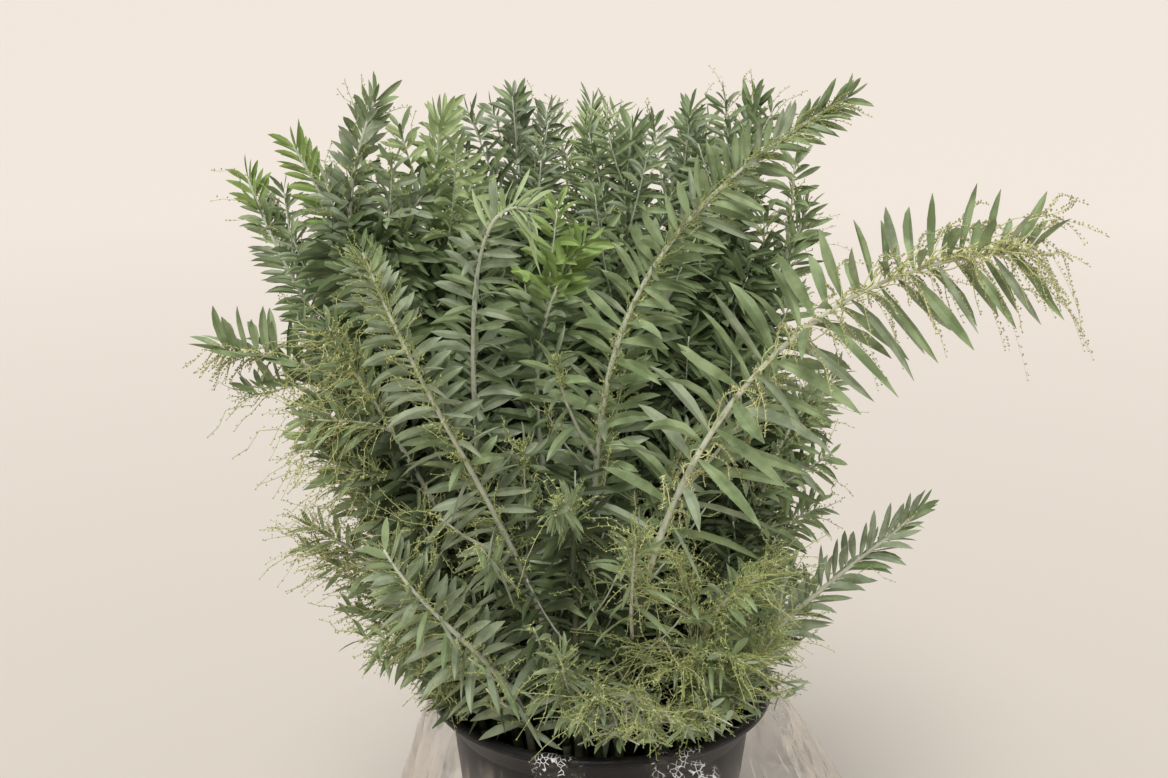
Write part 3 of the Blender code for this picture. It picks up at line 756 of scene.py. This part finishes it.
def leaf_mesh(table, rows, half_widths):
    """Every leaf of a table as one mesh: a lance-shaped blade in two halves that meet in a crease at the
    midrib. It bows under its own weight, bends a little to one side and twists towards its tip."""
    root, along, edge = (table[:, None, k : k + 3] for k in (0, 3, 6))
    length, width, sickle, droop, twist = (table[:, None, k : k + 1] for k in (9, 10, 11, 12, 13))
    s = np.array(rows)[None, :, None]
    up = np.array([0, 0, 1.0])
    middle = root + length * (along * s + edge * sickle * (4 * s * (s - 1)) - up * droop * s**2)
    ahead = unit(along + edge * sickle * (8 * s - 4) - up * droop * (2 * s))
    across = unit(edge - ahead * (edge * ahead).sum(axis=-1, keepdims=True))
    face = np.cross(ahead, across)
    across, face = (
        across * np.cos(twist * s) + face * np.sin(twist * s),
        face * np.cos(twist * s) - across * np.sin(twist * s),
    )
    reach = width * np.array(half_widths)[None, :, None]
    left = middle + across * reach + face * reach * LEAF_FOLD
    right = middle - across * reach + face * reach * LEAF_FOLD
    points = np.stack([left, middle, middle, right], axis=2).reshape(-1, 3)
    first = (np.arange(len(table)) * len(rows) * 4)[:, None, None]
    row = (np.arange(len(rows) - 1) * 4)[None, :, None]
    corner = first + row + np.array([0, 2])[None, None]
    quads = np.stack([corner, corner + 1, corner + 5, corner + 4], axis=-1).reshape(-1, 4)
    return points, quads


def raceme_mesh(table, kind, rng):
    """Bud sprays: thin arching stalks that turn a little at each bud, with the small round buds held out
    to either side of them."""
    buds_each = BUDS[kind]
    row_count = round(buds_each * ROWS_EACH_BUD)
    root, way = table[:, None, 0:3], table[:, None, 3:6]
    length, sag, bow, wave = (table[:, None, k : k + 1] for k in (9, 10, 11, 12))
    across = unit(np.cross(way, table[:, None, 6:9] + 0.01))
    other = np.cross(way, across)
    down = np.array([0, 0, -1.0])

    def centre_line(s):
        s = s[None, :, None]
        sway = across * (bow * s**2) + other * (wave * np.sin(8.5 * s))
        return root + length * (way * s + sway + down * sag * s**2.2)

    n, s = len(table), np.linspace(0, 1, row_count)
    turn = (np.arange(3) * 2 * math.pi / 3)[None, :, None]
    ring = np.cos(turn) * across + np.sin(turn) * other
    radius = RACEME_RADII[kind] * (1 - 0.35 * s)
    turns = rng.uniform(-ZIGZAG, ZIGZAG, (n, row_count, 1)) * (s > 0)[None, :, None]
    middle = centre_line(s) + across * turns + other * turns[:, ::-1]
    stalk = middle[:, :, None] + ring[:, None] * radius[None, :, None, None]
    first = (np.arange(n) * row_count * 3)[:, None, None]
    i = (np.arange(row_count - 1) * 3)[None, :, None]
    j = np.arange(3)[None, None]
    k = (j + 1) % 3
    stalk_faces = np.stack([first + i + j, first + i + k, first + i + 3 + k, first + i + 3 + j], -1)
    places = np.linspace(BUD_FROM[kind], 1.0, buds_each)
    spin = np.arange(buds_each)[None, :, None] * math.pi + rng.uniform(-0.9, 0.9, (n, buds_each, 1))
    out = unit(across * np.cos(spin) + other * np.sin(spin) + way * 0.5)
    far = BUD_OFFSET * rng.uniform(0.6, 1.2, (n, buds_each, 1))
    far[:, -1] *= 0.2
    heart = centre_line(places)
    bud = (heart + out * far).reshape(-1, 3)
    size = BUD_RADII[kind] * rng.uniform(0.75, 1.25, (n, buds_each, 1)) * (1 - 0.25 * places)[None, :, None]
    third = 2 * math.pi / 3
    waist = [[math.cos(i * third), math.sin(i * third), 0] for i in range(3)]
    bud_shape = np.array(waist + [[0, 0, 1], [0, 0, -1]])
    bud_sides = [[0, 1, 3], [1, 2, 3], [2, 0, 3], [1, 0, 4], [2, 1, 4], [0, 2, 4]]
    bud_points = (bud[:, None] + bud_shape[None] * size.reshape(-1, 1, 1)).reshape(-1, 3)
    bud_faces = np.array(bud_sides)[None] + (np.arange(len(bud)) * len(bud_shape))[:, None, None]
    foot = heart.reshape(-1, 1, 3) + BUD_STALK * (ring[:, :2] - ring[:, 1:]).repeat(buds_each, axis=0)
    prong = np.concatenate([foot, bud[:, None]], axis=1)
    prong_faces = (np.arange(len(bud)) * 3)[:, None] + np.arange(3)[None]
    stalks = np.vstack([stalk.reshape(-1, 3), prong.reshape(-1, 3)])
    prong_faces = prong_faces + stalk.size // 3
    return (stalks, stalk_faces.reshape(-1, 4), prong_faces), (bud_points, bud_faces.reshape(-1, 3))


def shader_of(name):
    look = bpy.data.materials.new(name)
    look.use_nodes = True
    tree = look.node_tree
    return look, tree, tree.nodes["Principled BSDF"]


def noise(tree, scale, detail=4.0, roughness=0.55):
    place = tree.nodes.new("ShaderNodeTexCoord")
    made = tree.nodes.new("ShaderNodeTexNoise")
    made.inputs["Scale"].default_value = scale
    made.inputs["Detail"].default_value = detail
    made.inputs["Roughness"].default_value = roughness
    tree.links.new(place.outputs["Object"], made.inputs["Vector"])
    return made


def ramp(tree, source, low, high, start=0.35, end=0.65):
    made = tree.nodes.new("ShaderNodeValToRGB")
    made.color_ramp.elements[0].position = start
    made.color_ramp.elements[1].position = end
    made.color_ramp.elements[0].color = (*low, 1)
    made.color_ramp.elements[1].color = (*high, 1)
    tree.links.new(source, made.inputs["Fac"])
    return made


def bump(tree, shader, source, strength, distance):
    made = tree.nodes.new("ShaderNodeBump")
    made.inputs["Strength"].default_value = strength
    made.inputs["Distance"].default_value = distance
    tree.links.new(source, made.inputs["Height"])
    tree.links.new(made.outputs["Normal"], shader.inputs["Normal"])
    return made


def leaf_look(name, light, dark):
    look, tree, shader = shader_of(name)
    patches = noise(tree, 38.0, 3.0)
    tone = ramp(tree, patches.outputs["Fac"], dark, light, 0.38, 0.62)
    tree.links.new(tone.outputs["Color"], shader.inputs["Base Color"])
    shader.inputs["Roughness"].default_value = 0.56
    shader.inputs["Specular IOR Level"].default_value = 0.42
    shader.inputs["Sheen Weight"].default_value = 0.12
    shader.inputs["Sheen Roughness"].default_value = 0.55
    shader.inputs["Sheen Tint"].default_value = (0.95, 0.96, 0.86, 1)
    grain = noise(tree, 900.0, 2.0)
    bump(tree, shader, grain.outputs["Fac"], 0.18, 0.0004)
    return look


def plain_look(name, light, dark, roughness, scale, bump_scale=0.0, sheen=0.0):
    look, tree, shader = shader_of(name)
    patches = noise(tree, scale, 5.0)
    tone = ramp(tree, patches.outputs["Fac"], dark, light)
    tree.links.new(tone.outputs["Color"], shader.inputs["Base Color"])
    shader.inputs["Roughness"].default_value = roughness
    shader.inputs["Sheen Weight"].default_value = sheen
    if bump_scale:
        grain = noise(tree, bump_scale, 4.0)
        bump(tree, shader, grain.outputs["Fac"], 0.35, 0.0006)
    return look


def maths(tree, operation, first, second):
    """A Math node on two inputs, each a socket or a number."""
    made = tree.nodes.new("ShaderNodeMath")
    made.operation = operation
    for socket, value in zip(made.inputs, (first, second)):
        if isinstance(value, (int, float)):
            socket.default_value = value
        else:
            tree.links.new(value, socket)
    return made.outputs["Value"]


def ring_place(azimuth, height):
    """A place on the outside of the film at this azimuth and height."""
    radius = RIM_RADIUS + FILM_GAP + FILM_FLARE * (BUCKET_HEIGHT - height) / FILM_DROP
    return direction_of(azimuth, 0) * radius + Vector((0, 0, height))


def near_places(tree, place, places):
    """One by the nearest of some places and falling to nothing at its size away."""
    near = 0.0
    for azimuth, height, size in places:
        apart = tree.nodes.new("ShaderNodeVectorMath")
        apart.operation = "DISTANCE"
        tree.links.new(place.outputs["Object"], apart.inputs[0])
        apart.inputs[1].default_value = ring_place(azimuth, height)
        share = tree.nodes.new("ShaderNodeMapRange")
        share.inputs["From Max"].default_value = size
        share.inputs["To Min"].default_value = 1.0
        share.inputs["To Max"].default_value = 0.0
        tree.links.new(apart.outputs["Value"], share.inputs["Value"])
        near = maths(tree, "MAXIMUM", share.outputs["Result"], near)
    return near


def stretched_noise(tree, place, stretch, scale, detail, distortion=0.0):
    """A noise texture stretched by a factor for each of the three ways."""
    mapping = tree.nodes.new("ShaderNodeMapping")
    mapping.inputs["Scale"].default_value = stretch
    tree.links.new(place.outputs["Object"], mapping.inputs["Vector"])
    made = tree.nodes.new("ShaderNodeTexNoise")
    made.inputs["Scale"].default_value = scale
    made.inputs["Detail"].default_value = detail
    made.inputs["Distortion"].default_value = distortion
    tree.links.new(mapping.outputs["Vector"], made.inputs["Vector"])
    return made.outputs["Fac"]


def crease_lines(tree, source, sharpness):
    """Thin lines where a noise passes its middle value, from nothing to one."""
    away = maths(tree, "ABSOLUTE", maths(tree, "SUBTRACT", source, 0.5), 0.0)
    return maths(tree, "MAXIMUM", maths(tree, "SUBTRACT", 1.0, maths(tree, "MULTIPLY", away, sharpness)), 0.0)


def film_look():
    """Clear film: a thin mirror-like shine that lets most of the light through, and less of it edge-on. It
    hangs in upright folds with pale creases, and is crumpled in places near the bucket's rim, where thin
    white lines are painted highlights for the glints on the creased film."""
    look, tree, shader = shader_of("clear_film")
    shader.inputs["Roughness"].default_value = 0.13
    place = tree.nodes.new("ShaderNodeTexCoord")
    edge_on = tree.nodes.new("ShaderNodeLayerWeight")
    edge_on.inputs["Blend"].default_value = 0.45
    clear = tree.nodes.new("ShaderNodeMapRange")
    clear.inputs["To Min"].default_value = 0.13
    clear.inputs["To Max"].default_value = 0.42
    tree.links.new(edge_on.outputs["Facing"], clear.inputs["Value"])
    split = tree.nodes.new("ShaderNodeSeparateXYZ")
    tree.links.new(place.outputs["Object"], split.inputs["Vector"])
    below_rim = tree.nodes.new("ShaderNodeMapRange")
    below_rim.inputs["From Min"].default_value = BUCKET_HEIGHT - 0.016
    below_rim.inputs["From Max"].default_value = BUCKET_HEIGHT - 0.034
    below_rim.inputs["To Min"].default_value = 0.05
    below_rim.inputs["To Max"].default_value = 1.0
    tree.links.new(split.outputs["Z"], below_rim.inputs["Value"])
    folds = stretched_noise(tree, place, (1, 1, 0.12), 50.0, 3.0)
    haze = ramp(tree, folds, (0.55,) * 3, (1.25,) * 3, 0.38, 0.62)
    upright = crease_lines(tree, stretched_noise(tree, place, (1, 1, 0.05), 24.0, 2.0), 42.0)
    cover = maths(tree, "MULTIPLY", clear.outputs["Result"], haze.outputs["Color"])
    cover = maths(tree, "ADD", cover, maths(tree, "MULTIPLY", upright, 0.24))
    cover = maths(tree, "MULTIPLY", cover, below_rim.outputs["Result"])
    crumple_and_glint_places = near_places(tree, place, CRINKLES_AND_GLINTS)
    facets = tree.nodes.new("ShaderNodeTexVoronoi")
    facets.inputs["Scale"].default_value = 110.0
    facets.distance = "MANHATTAN"
    tree.links.new(place.outputs["Object"], facets.inputs["Vector"])
    held = maths(tree, "MINIMUM", maths(tree, "MULTIPLY", crumple_and_glint_places, 2.5), 1.0)
    wrinkle = maths(tree, "MULTIPLY", facets.outputs["Distance"], maths(tree, "MULTIPLY", held, 1.8))
    # Painted highlights: a broken net of thin white lines at the crumpled places, opaque and not metallic, in place of
    # the glints of light on the creased film.
    edges = tree.nodes.new("ShaderNodeTexVoronoi")
    edges.feature = "DISTANCE_TO_EDGE"
    edges.inputs["Scale"].default_value = 240.0
    tree.links.new(place.outputs["Object"], edges.inputs["Vector"])
    line = maths(tree, "SUBTRACT", 1.0, maths(tree, "MULTIPLY", edges.outputs["Distance"], 11.0))
    broken = ramp(tree, stretched_noise(tree, place, (1, 1, 1), 90.0, 2.0), (0,) * 3, (1,) * 3, 0.48, 0.52)
    sharp = maths(tree, "MINIMUM", maths(tree, "MULTIPLY", maths(tree, "MAXIMUM", line, 0.0), 2.5), 1.0)
    painted_glint = maths(tree, "MULTIPLY", sharp, broken.outputs["Color"])
    painted_glint = maths(tree, "MULTIPLY", painted_glint, held)
    cover = maths(tree, "MAXIMUM", maths(tree, "ADD", cover, maths(tree, "MULTIPLY", held, 0.05)), painted_glint)
    tree.links.new(maths(tree, "MINIMUM", cover, 1.0), shader.inputs["Alpha"])
    tree.links.new(maths(tree, "SUBTRACT", 1.0, painted_glint), shader.inputs["Metallic"])
    # The painted highlights are white.
    white = ramp(tree, painted_glint, (0.86, 0.79, 0.71), (1, 1, 1), 0.0, 0.5)
    tree.links.new(white.outputs["Color"], shader.inputs["Base Color"])
    height = maths(tree, "ADD", maths(tree, "MULTIPLY", folds, 0.8), wrinkle)
    bump(tree, shader, height, 0.9, 0.004)
    return look


def wall_radius(height):
    return FOOT_RADIUS + (WALL_TOP_RADIUS - FOOT_RADIUS) * height / (BUCKET_HEIGHT - BAND_HEIGHT)


def bead_arc(radius, first, last, count):
    centre = (RIM_RADIUS - RIM_BEAD, BUCKET_HEIGHT - RIM_BEAD)
    angles = np.radians(np.linspace(first, last, count))
    return [(centre[0] + radius * math.cos(a), centre[1] + radius * math.sin(a)) for a in angles]


def turned(profile, sides):
    """A closed profile of (radius, height) turned round Z, as points and quads."""
    profile = np.array(profile)
    turn = np.linspace(0, 2 * math.pi, sides, endpoint=False)
    r, z = profile[:, 0][:, None], profile[:, 1][:, None]
    points = np.stack([r * np.cos(turn), r * np.sin(turn), np.repeat(z, sides, 1)], axis=-1)
    i = np.arange(len(profile) - 1)[:, None]
    j = np.arange(sides)[None]
    k = (j + 1) % sides
    quads = np.stack([i * sides + j, i * sides + k, (i + 1) * sides + k, (i + 1) * sides + j], axis=-1)
    return points, quads.reshape(-1, 4)


def make_bucket(look):
    band_foot = BUCKET_HEIGHT - BAND_HEIGHT
    below = wall_radius(band_foot)
    profile = [(0.0001, 0.0), (0.074, 0.0), (0.076, 0.0012), (0.084, 0.0012), (0.086, 0.0), (0.0920, 0.0)]
    profile += [(0.0942, 0.0009), (wall_radius(0.003), 0.003)]
    profile += [(wall_radius(z), z) for z in (0.10, 0.20, band_foot - 0.002)]
    profile += [(below + 0.0006, band_foot), (below + BAND_STEP - 0.0008, band_foot + 0.0028)]
    profile += [(below + BAND_STEP, band_foot + BAND_STEP + 0.0012)]
    profile += bead_arc(RIM_BEAD, -100, 190, 18)
    profile += [(below - WALL, band_foot), (wall_radius(0.1) - WALL, 0.1)]
    profile += [(wall_radius(FLOOR + 0.004) - WALL, FLOOR + 0.004), (wall_radius(FLOOR) - WALL - 0.004, FLOOR)]
    profile += [(0.0001, FLOOR)]
    points, quads = turned(profile, BUCKET_SIDES)
    bucket = mesh_object("bucket_detailed", look, points.reshape(-1, 3), quads)
    bucket.data.set_sharp_from_angle(angle=math.radians(38))
    return bucket


def ripple(angle, height, rng_phase):
    """A sum of waves that wanders over the film like soft crumples."""
    total = np.zeros(np.broadcast(angle, height).shape)
    for k, (around, up, size) in enumerate(((31, 9, 0.30), (53, -14, 0.20), (83, 22, 0.13), (131, -34, 0.08))):
        total += size * np.sin(around * angle + up * height * 6 + rng_phase * (k + 1))
    return total


def make_film(look):
    over = bead_arc(RIM_BEAD + FILM_GAP, 180, 0, 12)
    inner_foot = BUCKET_HEIGHT - FILM_INSIDE
    inner = wall_radius(inner_foot) - WALL - 0.0022
    lining = [(inner + (over[0][0] - inner) * t, inner_foot + (over[0][1] - inner_foot) * t)
              for t in np.linspace(0, 0.95, 9)]
    fall = FILM_DROP - RIM_BEAD
    shares = np.linspace(0.012, 1.0, FILM_ROWS)
    skirt = [(over[-1][0] + FILM_FLARE * t, BUCKET_HEIGHT - RIM_BEAD - fall * t) for t in shares]
    points, quads = turned(lining + over + skirt, FILM_SIDES)
    angle = np.arctan2(points[..., 1], points[..., 0])
    radius = np.hypot(points[..., 0], points[..., 1])
    height = points[..., 2]
    depth = np.clip((BUCKET_HEIGHT - RIM_BEAD - height) / fall, 0, 1)
    outside = radius > RIM_RADIUS
    pleat = np.sin(PLEATS * angle) + 0.35 * np.sin(5 * angle + 1)
    wave = FILM_LEAN * FILM_FLARE * depth * np.cos(angle) + PLEAT_DEPTH * pleat * depth**0.7
    wave += 0.0035 * ripple(angle, height, 1.3) * np.clip(depth * 4, 0, 1)
    crumple = 0.0004 * ripple(angle * 2, height, 0.4)
    change = np.where(outside, wave, np.clip(crumple, -0.0002, 0.0006) * (radius < RIM_RADIUS - 0.011))
    inward = np.where(outside, 1.0, -1.0)
    new = radius + change * inward
    points[..., 0] *= new / radius
    points[..., 1] *= new / radius
    film = mesh_object("film_detailed", look, points.reshape(-1, 3), quads)
    return film


def chunks(table, faces_each, limit=190000):
    """Splits a table so that each piece stays under the limit of triangles."""
    return np.array_split(table, max(1, math.ceil(len(table) * faces_each / limit)))


def bark(reach, turn):
    """Fine ridges along a stem and slow swellings, as a factor on its radius."""
    ridges = 0.035 * np.sin(7 * turn + 3 * np.sin(reach * 40)) + 0.02 * np.sin(13 * turn - reach * 90)
    return 1 + ridges + 0.03 * np.sin(reach * 160) * np.sin(reach * 57 + 2 * turn)


def down(reach, turn):
    """The upper stem is bluntly three-angled and swells a little at each leaf root."""
    return 1 + 0.10 * np.cos(3 * turn) + 0.07 * np.cos(reach * 2 * math.pi / LEAF_EVERY)


def dress(piece, slot, *nodes):
    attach(piece, "root")
    if nodes:
        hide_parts(*nodes)


def grow(room):
    """All axes of all sprays as tubes, and the tables of leaves and bud sprays on them."""
    sprays = all_sprays()
    mouths = dict(zip(sprays, mouth_places(sprays)))
    lines = {name: stem_line(spray, mouths[name]) for name, spray in sprays.items()}
    skeletons = {name: line.array for name, line in lines.items()}
    stem_parts, low_parts, twig_parts = [], [], []
    buds = Buds()
    rng = np.random.default_rng(7)
    shown = {}
    for name in SHOWN:
        places = lines[name].array
        shown[name] = places[places[:, 2] > BUCKET_HEIGHT + SHOWN_FROM.get(name, 0.030)]
    low_shown = np.vstack([shown[name] for name in SHOWN_FROM])
    shown = np.vstack(list(shown.values()))
    for name, line in lines.items():
        spray = sprays[name]
        start = line.distance_at_height(SPRAY_START)
        axis = spray_axis(line, start)
        others = np.vstack([places for key, places in skeletons.items() if key != name])
        shoots = side_shoots(axis, others)
        skeletons[name] = np.vstack([line.array] + [filled(s) for s in shoots])
        radii = ([0, start], [STEM_RADIUS, RIM_LEVEL_RADIUS])
        stem_parts.append(tube(line, 0, start - MEETING_GAP, radii, 0.007, 10, bark))
        radii = ([start, line.length], [RIM_LEVEL_RADIUS, TIP_RADIUS * 0.85])
        # Up to here the stem keeps the dark bark look, partly bark colour and partly painted shade at the bucket's
        # mouth.
        neck_shade_end = start + SHADED_NECK_LENGTHS.get(name, NECK_SHADE)
        low_parts.append(tube(line, start, neck_shade_end, radii, 0.007, 8, bark))
        end = line.length - TIP_TRIMS.get(name, TIP_TRIM)
        twig_parts.append(tube(line, neck_shade_end, end, radii, 0.0045, 8, down))
        fines = fine_shoots(line, start, spray, EXTRA_SHOOTS.get(name, ()), rng)
        low_ones = rim_shoots(line, start, room, rng) + fringe_shoots(line, start, rng)
        low_ones = [shoot for shoot in low_ones if in_front_of_shown(shoot.array, low_shown).mean() < LOW_SHOOT_HIDING]
        for shoot in shoots:
            radii = ([0, shoot.length], [SHOOT_RADIUS * 1.25, SHOOT_RADIUS * 0.6])
            twig_parts.append(tube(shoot, 0.0, shoot.length, radii, 0.008, 7))
        for shoot in fines + low_ones:
            radii = ([0, shoot.length], [FINE_RADIUS, FINE_RADIUS * 0.6])
            twig_parts.append(tube(shoot, 0.0, shoot.length, radii, 0.014, 5))
        gaps = LEAF_GAPS.get(name, 0.0)
        clothe(buds, line, start + 0.02, name, spray, True, gaps, room, shown, rng)
        for shoot in shoots + fines:
            clothe(buds, shoot, 0.012, name, spray, False, gaps, room, shown, rng)
        blooming = name in RIM_BLOOMS
        low_leaf = 0.60 if blooming else min(max(spray.leaf, 0.66), 0.78)
        low_spray = spray._replace(bloom=RIM_BLOOMS.get(name, RIM_SHOOT_BLOOM), leaf=low_leaf)
        low_gaps = 0.55 if blooming else max(gaps, RIM_SHOOT_GAPS)
        for shoot in low_ones:
            clothe(buds, shoot, 0.010, name, low_spray, False, low_gaps, room, shown, rng)
    return sprays, (stem_parts, low_parts, twig_parts), buds, rng


def make_plant(looks, room):
    sprays, (stem_parts, low_parts, twig_parts), buds, rng = grow(room)
    stems = mesh_object("stems_bare", looks["bark"], *joined(stem_parts))
    dress(stems, "stem", *["stem_" + name for name in sprays])
    twigs = mesh_object("stems_downy", looks["down"], *joined(twig_parts))
    dress(twigs, "stem", *["foliage_" + name for name in sprays])
    dress(mesh_object("stem_necks", looks["bark"], *joined(low_parts)), "stem")
    for tone in TONES:
        shape = (SHADE_ROWS, SHADE_HALF_WIDTHS) if tone in PAINTED_SHADE_TONES else (LEAF_ROWS, LEAF_HALF_WIDTHS)
        for i, part in enumerate(chunks(buds.table("leaf_" + tone), 4 * (len(shape[0]) - 1))):
            leaves = mesh_object(f"leaves_{tone}_{i + 1}", looks["leaf_" + tone], *leaf_mesh(part, *shape))
            dress(leaves, "foliage")
    for kind, buds_each in BUDS.items():
        for i, part in enumerate(chunks(buds.table("raceme_" + kind), 6 * buds_each)):
            stalks, heads = raceme_mesh(part, kind, rng)
            look = looks["stalk_" + kind]
            dress(mesh_object(f"bud_stalks_{kind}_{i + 1}", look, *stalks), "foliage")
            dress(mesh_object(f"buds_{kind}_{i + 1}", looks["bud_" + kind], *heads), "foliage")


def make_floor():
    """A plain pale floor, with painted shade that makes it a little darker near the bunch than further off."""
    look, tree, shader = shader_of("cream_ground")
    place = tree.nodes.new("ShaderNodeTexCoord")
    away = tree.nodes.new("ShaderNodeVectorMath")
    away.operation = "LENGTH"
    tree.links.new(place.outputs["Object"], away.inputs[0])
    share = tree.nodes.new("ShaderNodeMapRange")
    share.inputs["From Min"].default_value = 0.3
    share.inputs["From Max"].default_value = 3.6
    tree.links.new(away.outputs["Value"], share.inputs["Value"])
    # Painted shade: darker near the bunch, paler further off, as the light falls off.
    tone = ramp(tree, share.outputs["Result"], (0.710, 0.655, 0.600), (0.880, 0.815, 0.760), 0.0, 1.0)
    tree.links.new(tone.outputs["Color"], shader.inputs["Base Color"])
    shader.inputs["Roughness"].default_value = 0.9
    shader.inputs["Specular IOR Level"].default_value = 0.1
    bm = bmesh.new()
    bmesh.ops.create_circle(bm, cap_ends=True, segments=96, radius=30.0)
    mesh = bpy.data.meshes.new("ground")
    bm.to_mesh(mesh)
    bm.free()
    mesh.materials.append(look)
    ground = bpy.data.objects.new("ground", mesh)
    bpy.context.scene.collection.objects.link(ground)


def sun_light(name, way, softness, power, colour):
    """A light from far away, from the way given, as soft as its angle in degrees."""
    data = bpy.data.lights.new(name, "SUN")
    data.energy = power
    data.angle = math.radians(softness)
    data.color = colour
    light = bpy.data.objects.new(name, data)
    light.rotation_euler = (-Vector(way)).to_track_quat("-Z", "Y").to_euler()
    bpy.context.scene.collection.objects.link(light)


def make_light():
    bpy.context.scene.view_settings.view_transform = "Standard"
    world = bpy.data.worlds.new("soft_room")
    bpy.context.scene.world = world
    world.use_nodes = True
    sky = world.node_tree.nodes["Background"]
    sky.inputs["Color"].default_value = (1.0, 0.97, 0.93, 1)
    sky.inputs["Strength"].default_value = 0.30
    sun_light("key", (-0.25, -1.0, 1.5), 30, 2.45, (1.0, 0.98, 0.94))
    sun_light("back", (0.6, 1.2, 1.4), 40, 0.35, (1.0, 0.98, 0.95))


def make_camera():
    data = bpy.data.cameras.new("photo_camera")
    data.lens = LENS
    data.sensor_width = SENSOR
    data.sensor_fit = "HORIZONTAL"
    data.clip_end = 100
    camera = bpy.data.objects.new("photo_camera", data)
    camera.location = CAMERA_PLACE
    camera.rotation_euler = (math.radians(90 - CAMERA_PITCH), 0, 0)
    bpy.context.scene.collection.objects.link(camera)
    bpy.context.scene.camera = camera


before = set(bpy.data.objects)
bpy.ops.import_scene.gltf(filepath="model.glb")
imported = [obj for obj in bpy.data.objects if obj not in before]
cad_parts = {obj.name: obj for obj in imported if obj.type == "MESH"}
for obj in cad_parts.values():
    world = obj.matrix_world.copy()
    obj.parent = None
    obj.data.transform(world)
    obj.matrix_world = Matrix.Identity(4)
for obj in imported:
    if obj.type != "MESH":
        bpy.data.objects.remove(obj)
cad_low, cad_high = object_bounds()
make_camera()
make_light()
make_floor()
looks = {"leaf_" + tone: leaf_look("leaf_" + tone, *pair) for tone, pair in TONES.items()}
# Dark bark for the stems in the bucket and at its mouth, darkened further as painted shade.
looks["bark"] = plain_look("stem_bark_painted_shade", (0.15, 0.16, 0.095), (0.075, 0.075, 0.045), 0.8, 60.0, 400.0)
looks["down"] = plain_look("stem_down", (0.68, 0.69, 0.56), (0.48, 0.51, 0.38), 0.75, 120.0, 900.0, 0.3)
looks["stalk_green"] = plain_look("bud_stalk", (0.63, 0.68, 0.31), (0.42, 0.47, 0.18), 0.6, 90.0)
looks["stalk_ripe"] = plain_look("bud_stalk_ripe", (0.69, 0.72, 0.35), (0.48, 0.51, 0.21), 0.6, 90.0)
looks["stalk_long"] = plain_look("bud_stalk_pale", (0.86, 0.88, 0.46), (0.68, 0.72, 0.32), 0.6, 90.0)
looks["bud_green"] = plain_look("bud_green", (0.46, 0.51, 0.19), (0.29, 0.33, 0.11), 0.65, 260.0)
looks["bud_long"] = plain_look("bud_pale", (0.60, 0.60, 0.32), (0.30, 0.28, 0.17), 0.65, 500.0)
looks["bud_ripe"] = plain_look("bud_ripe", (0.51, 0.53, 0.21), (0.33, 0.33, 0.12), 0.65, 260.0)
looks["bucket"] = plain_look("black_plastic", (0.012, 0.012, 0.013), (0.008, 0.008, 0.009), 0.42, 20.0)
bucket_shader = looks["bucket"].node_tree.nodes["Principled BSDF"]
bucket_shader.inputs["Specular IOR Level"].default_value = 0.25
bucket = make_bucket(looks["bucket"])
dress(bucket, "bucket", "bucket")
film = make_film(film_look())
dress(film, "film", "film_sleeve")
make_plant(looks, (np.array(cad_low) - OVERHANG, np.array(cad_high) + OVERHANG))
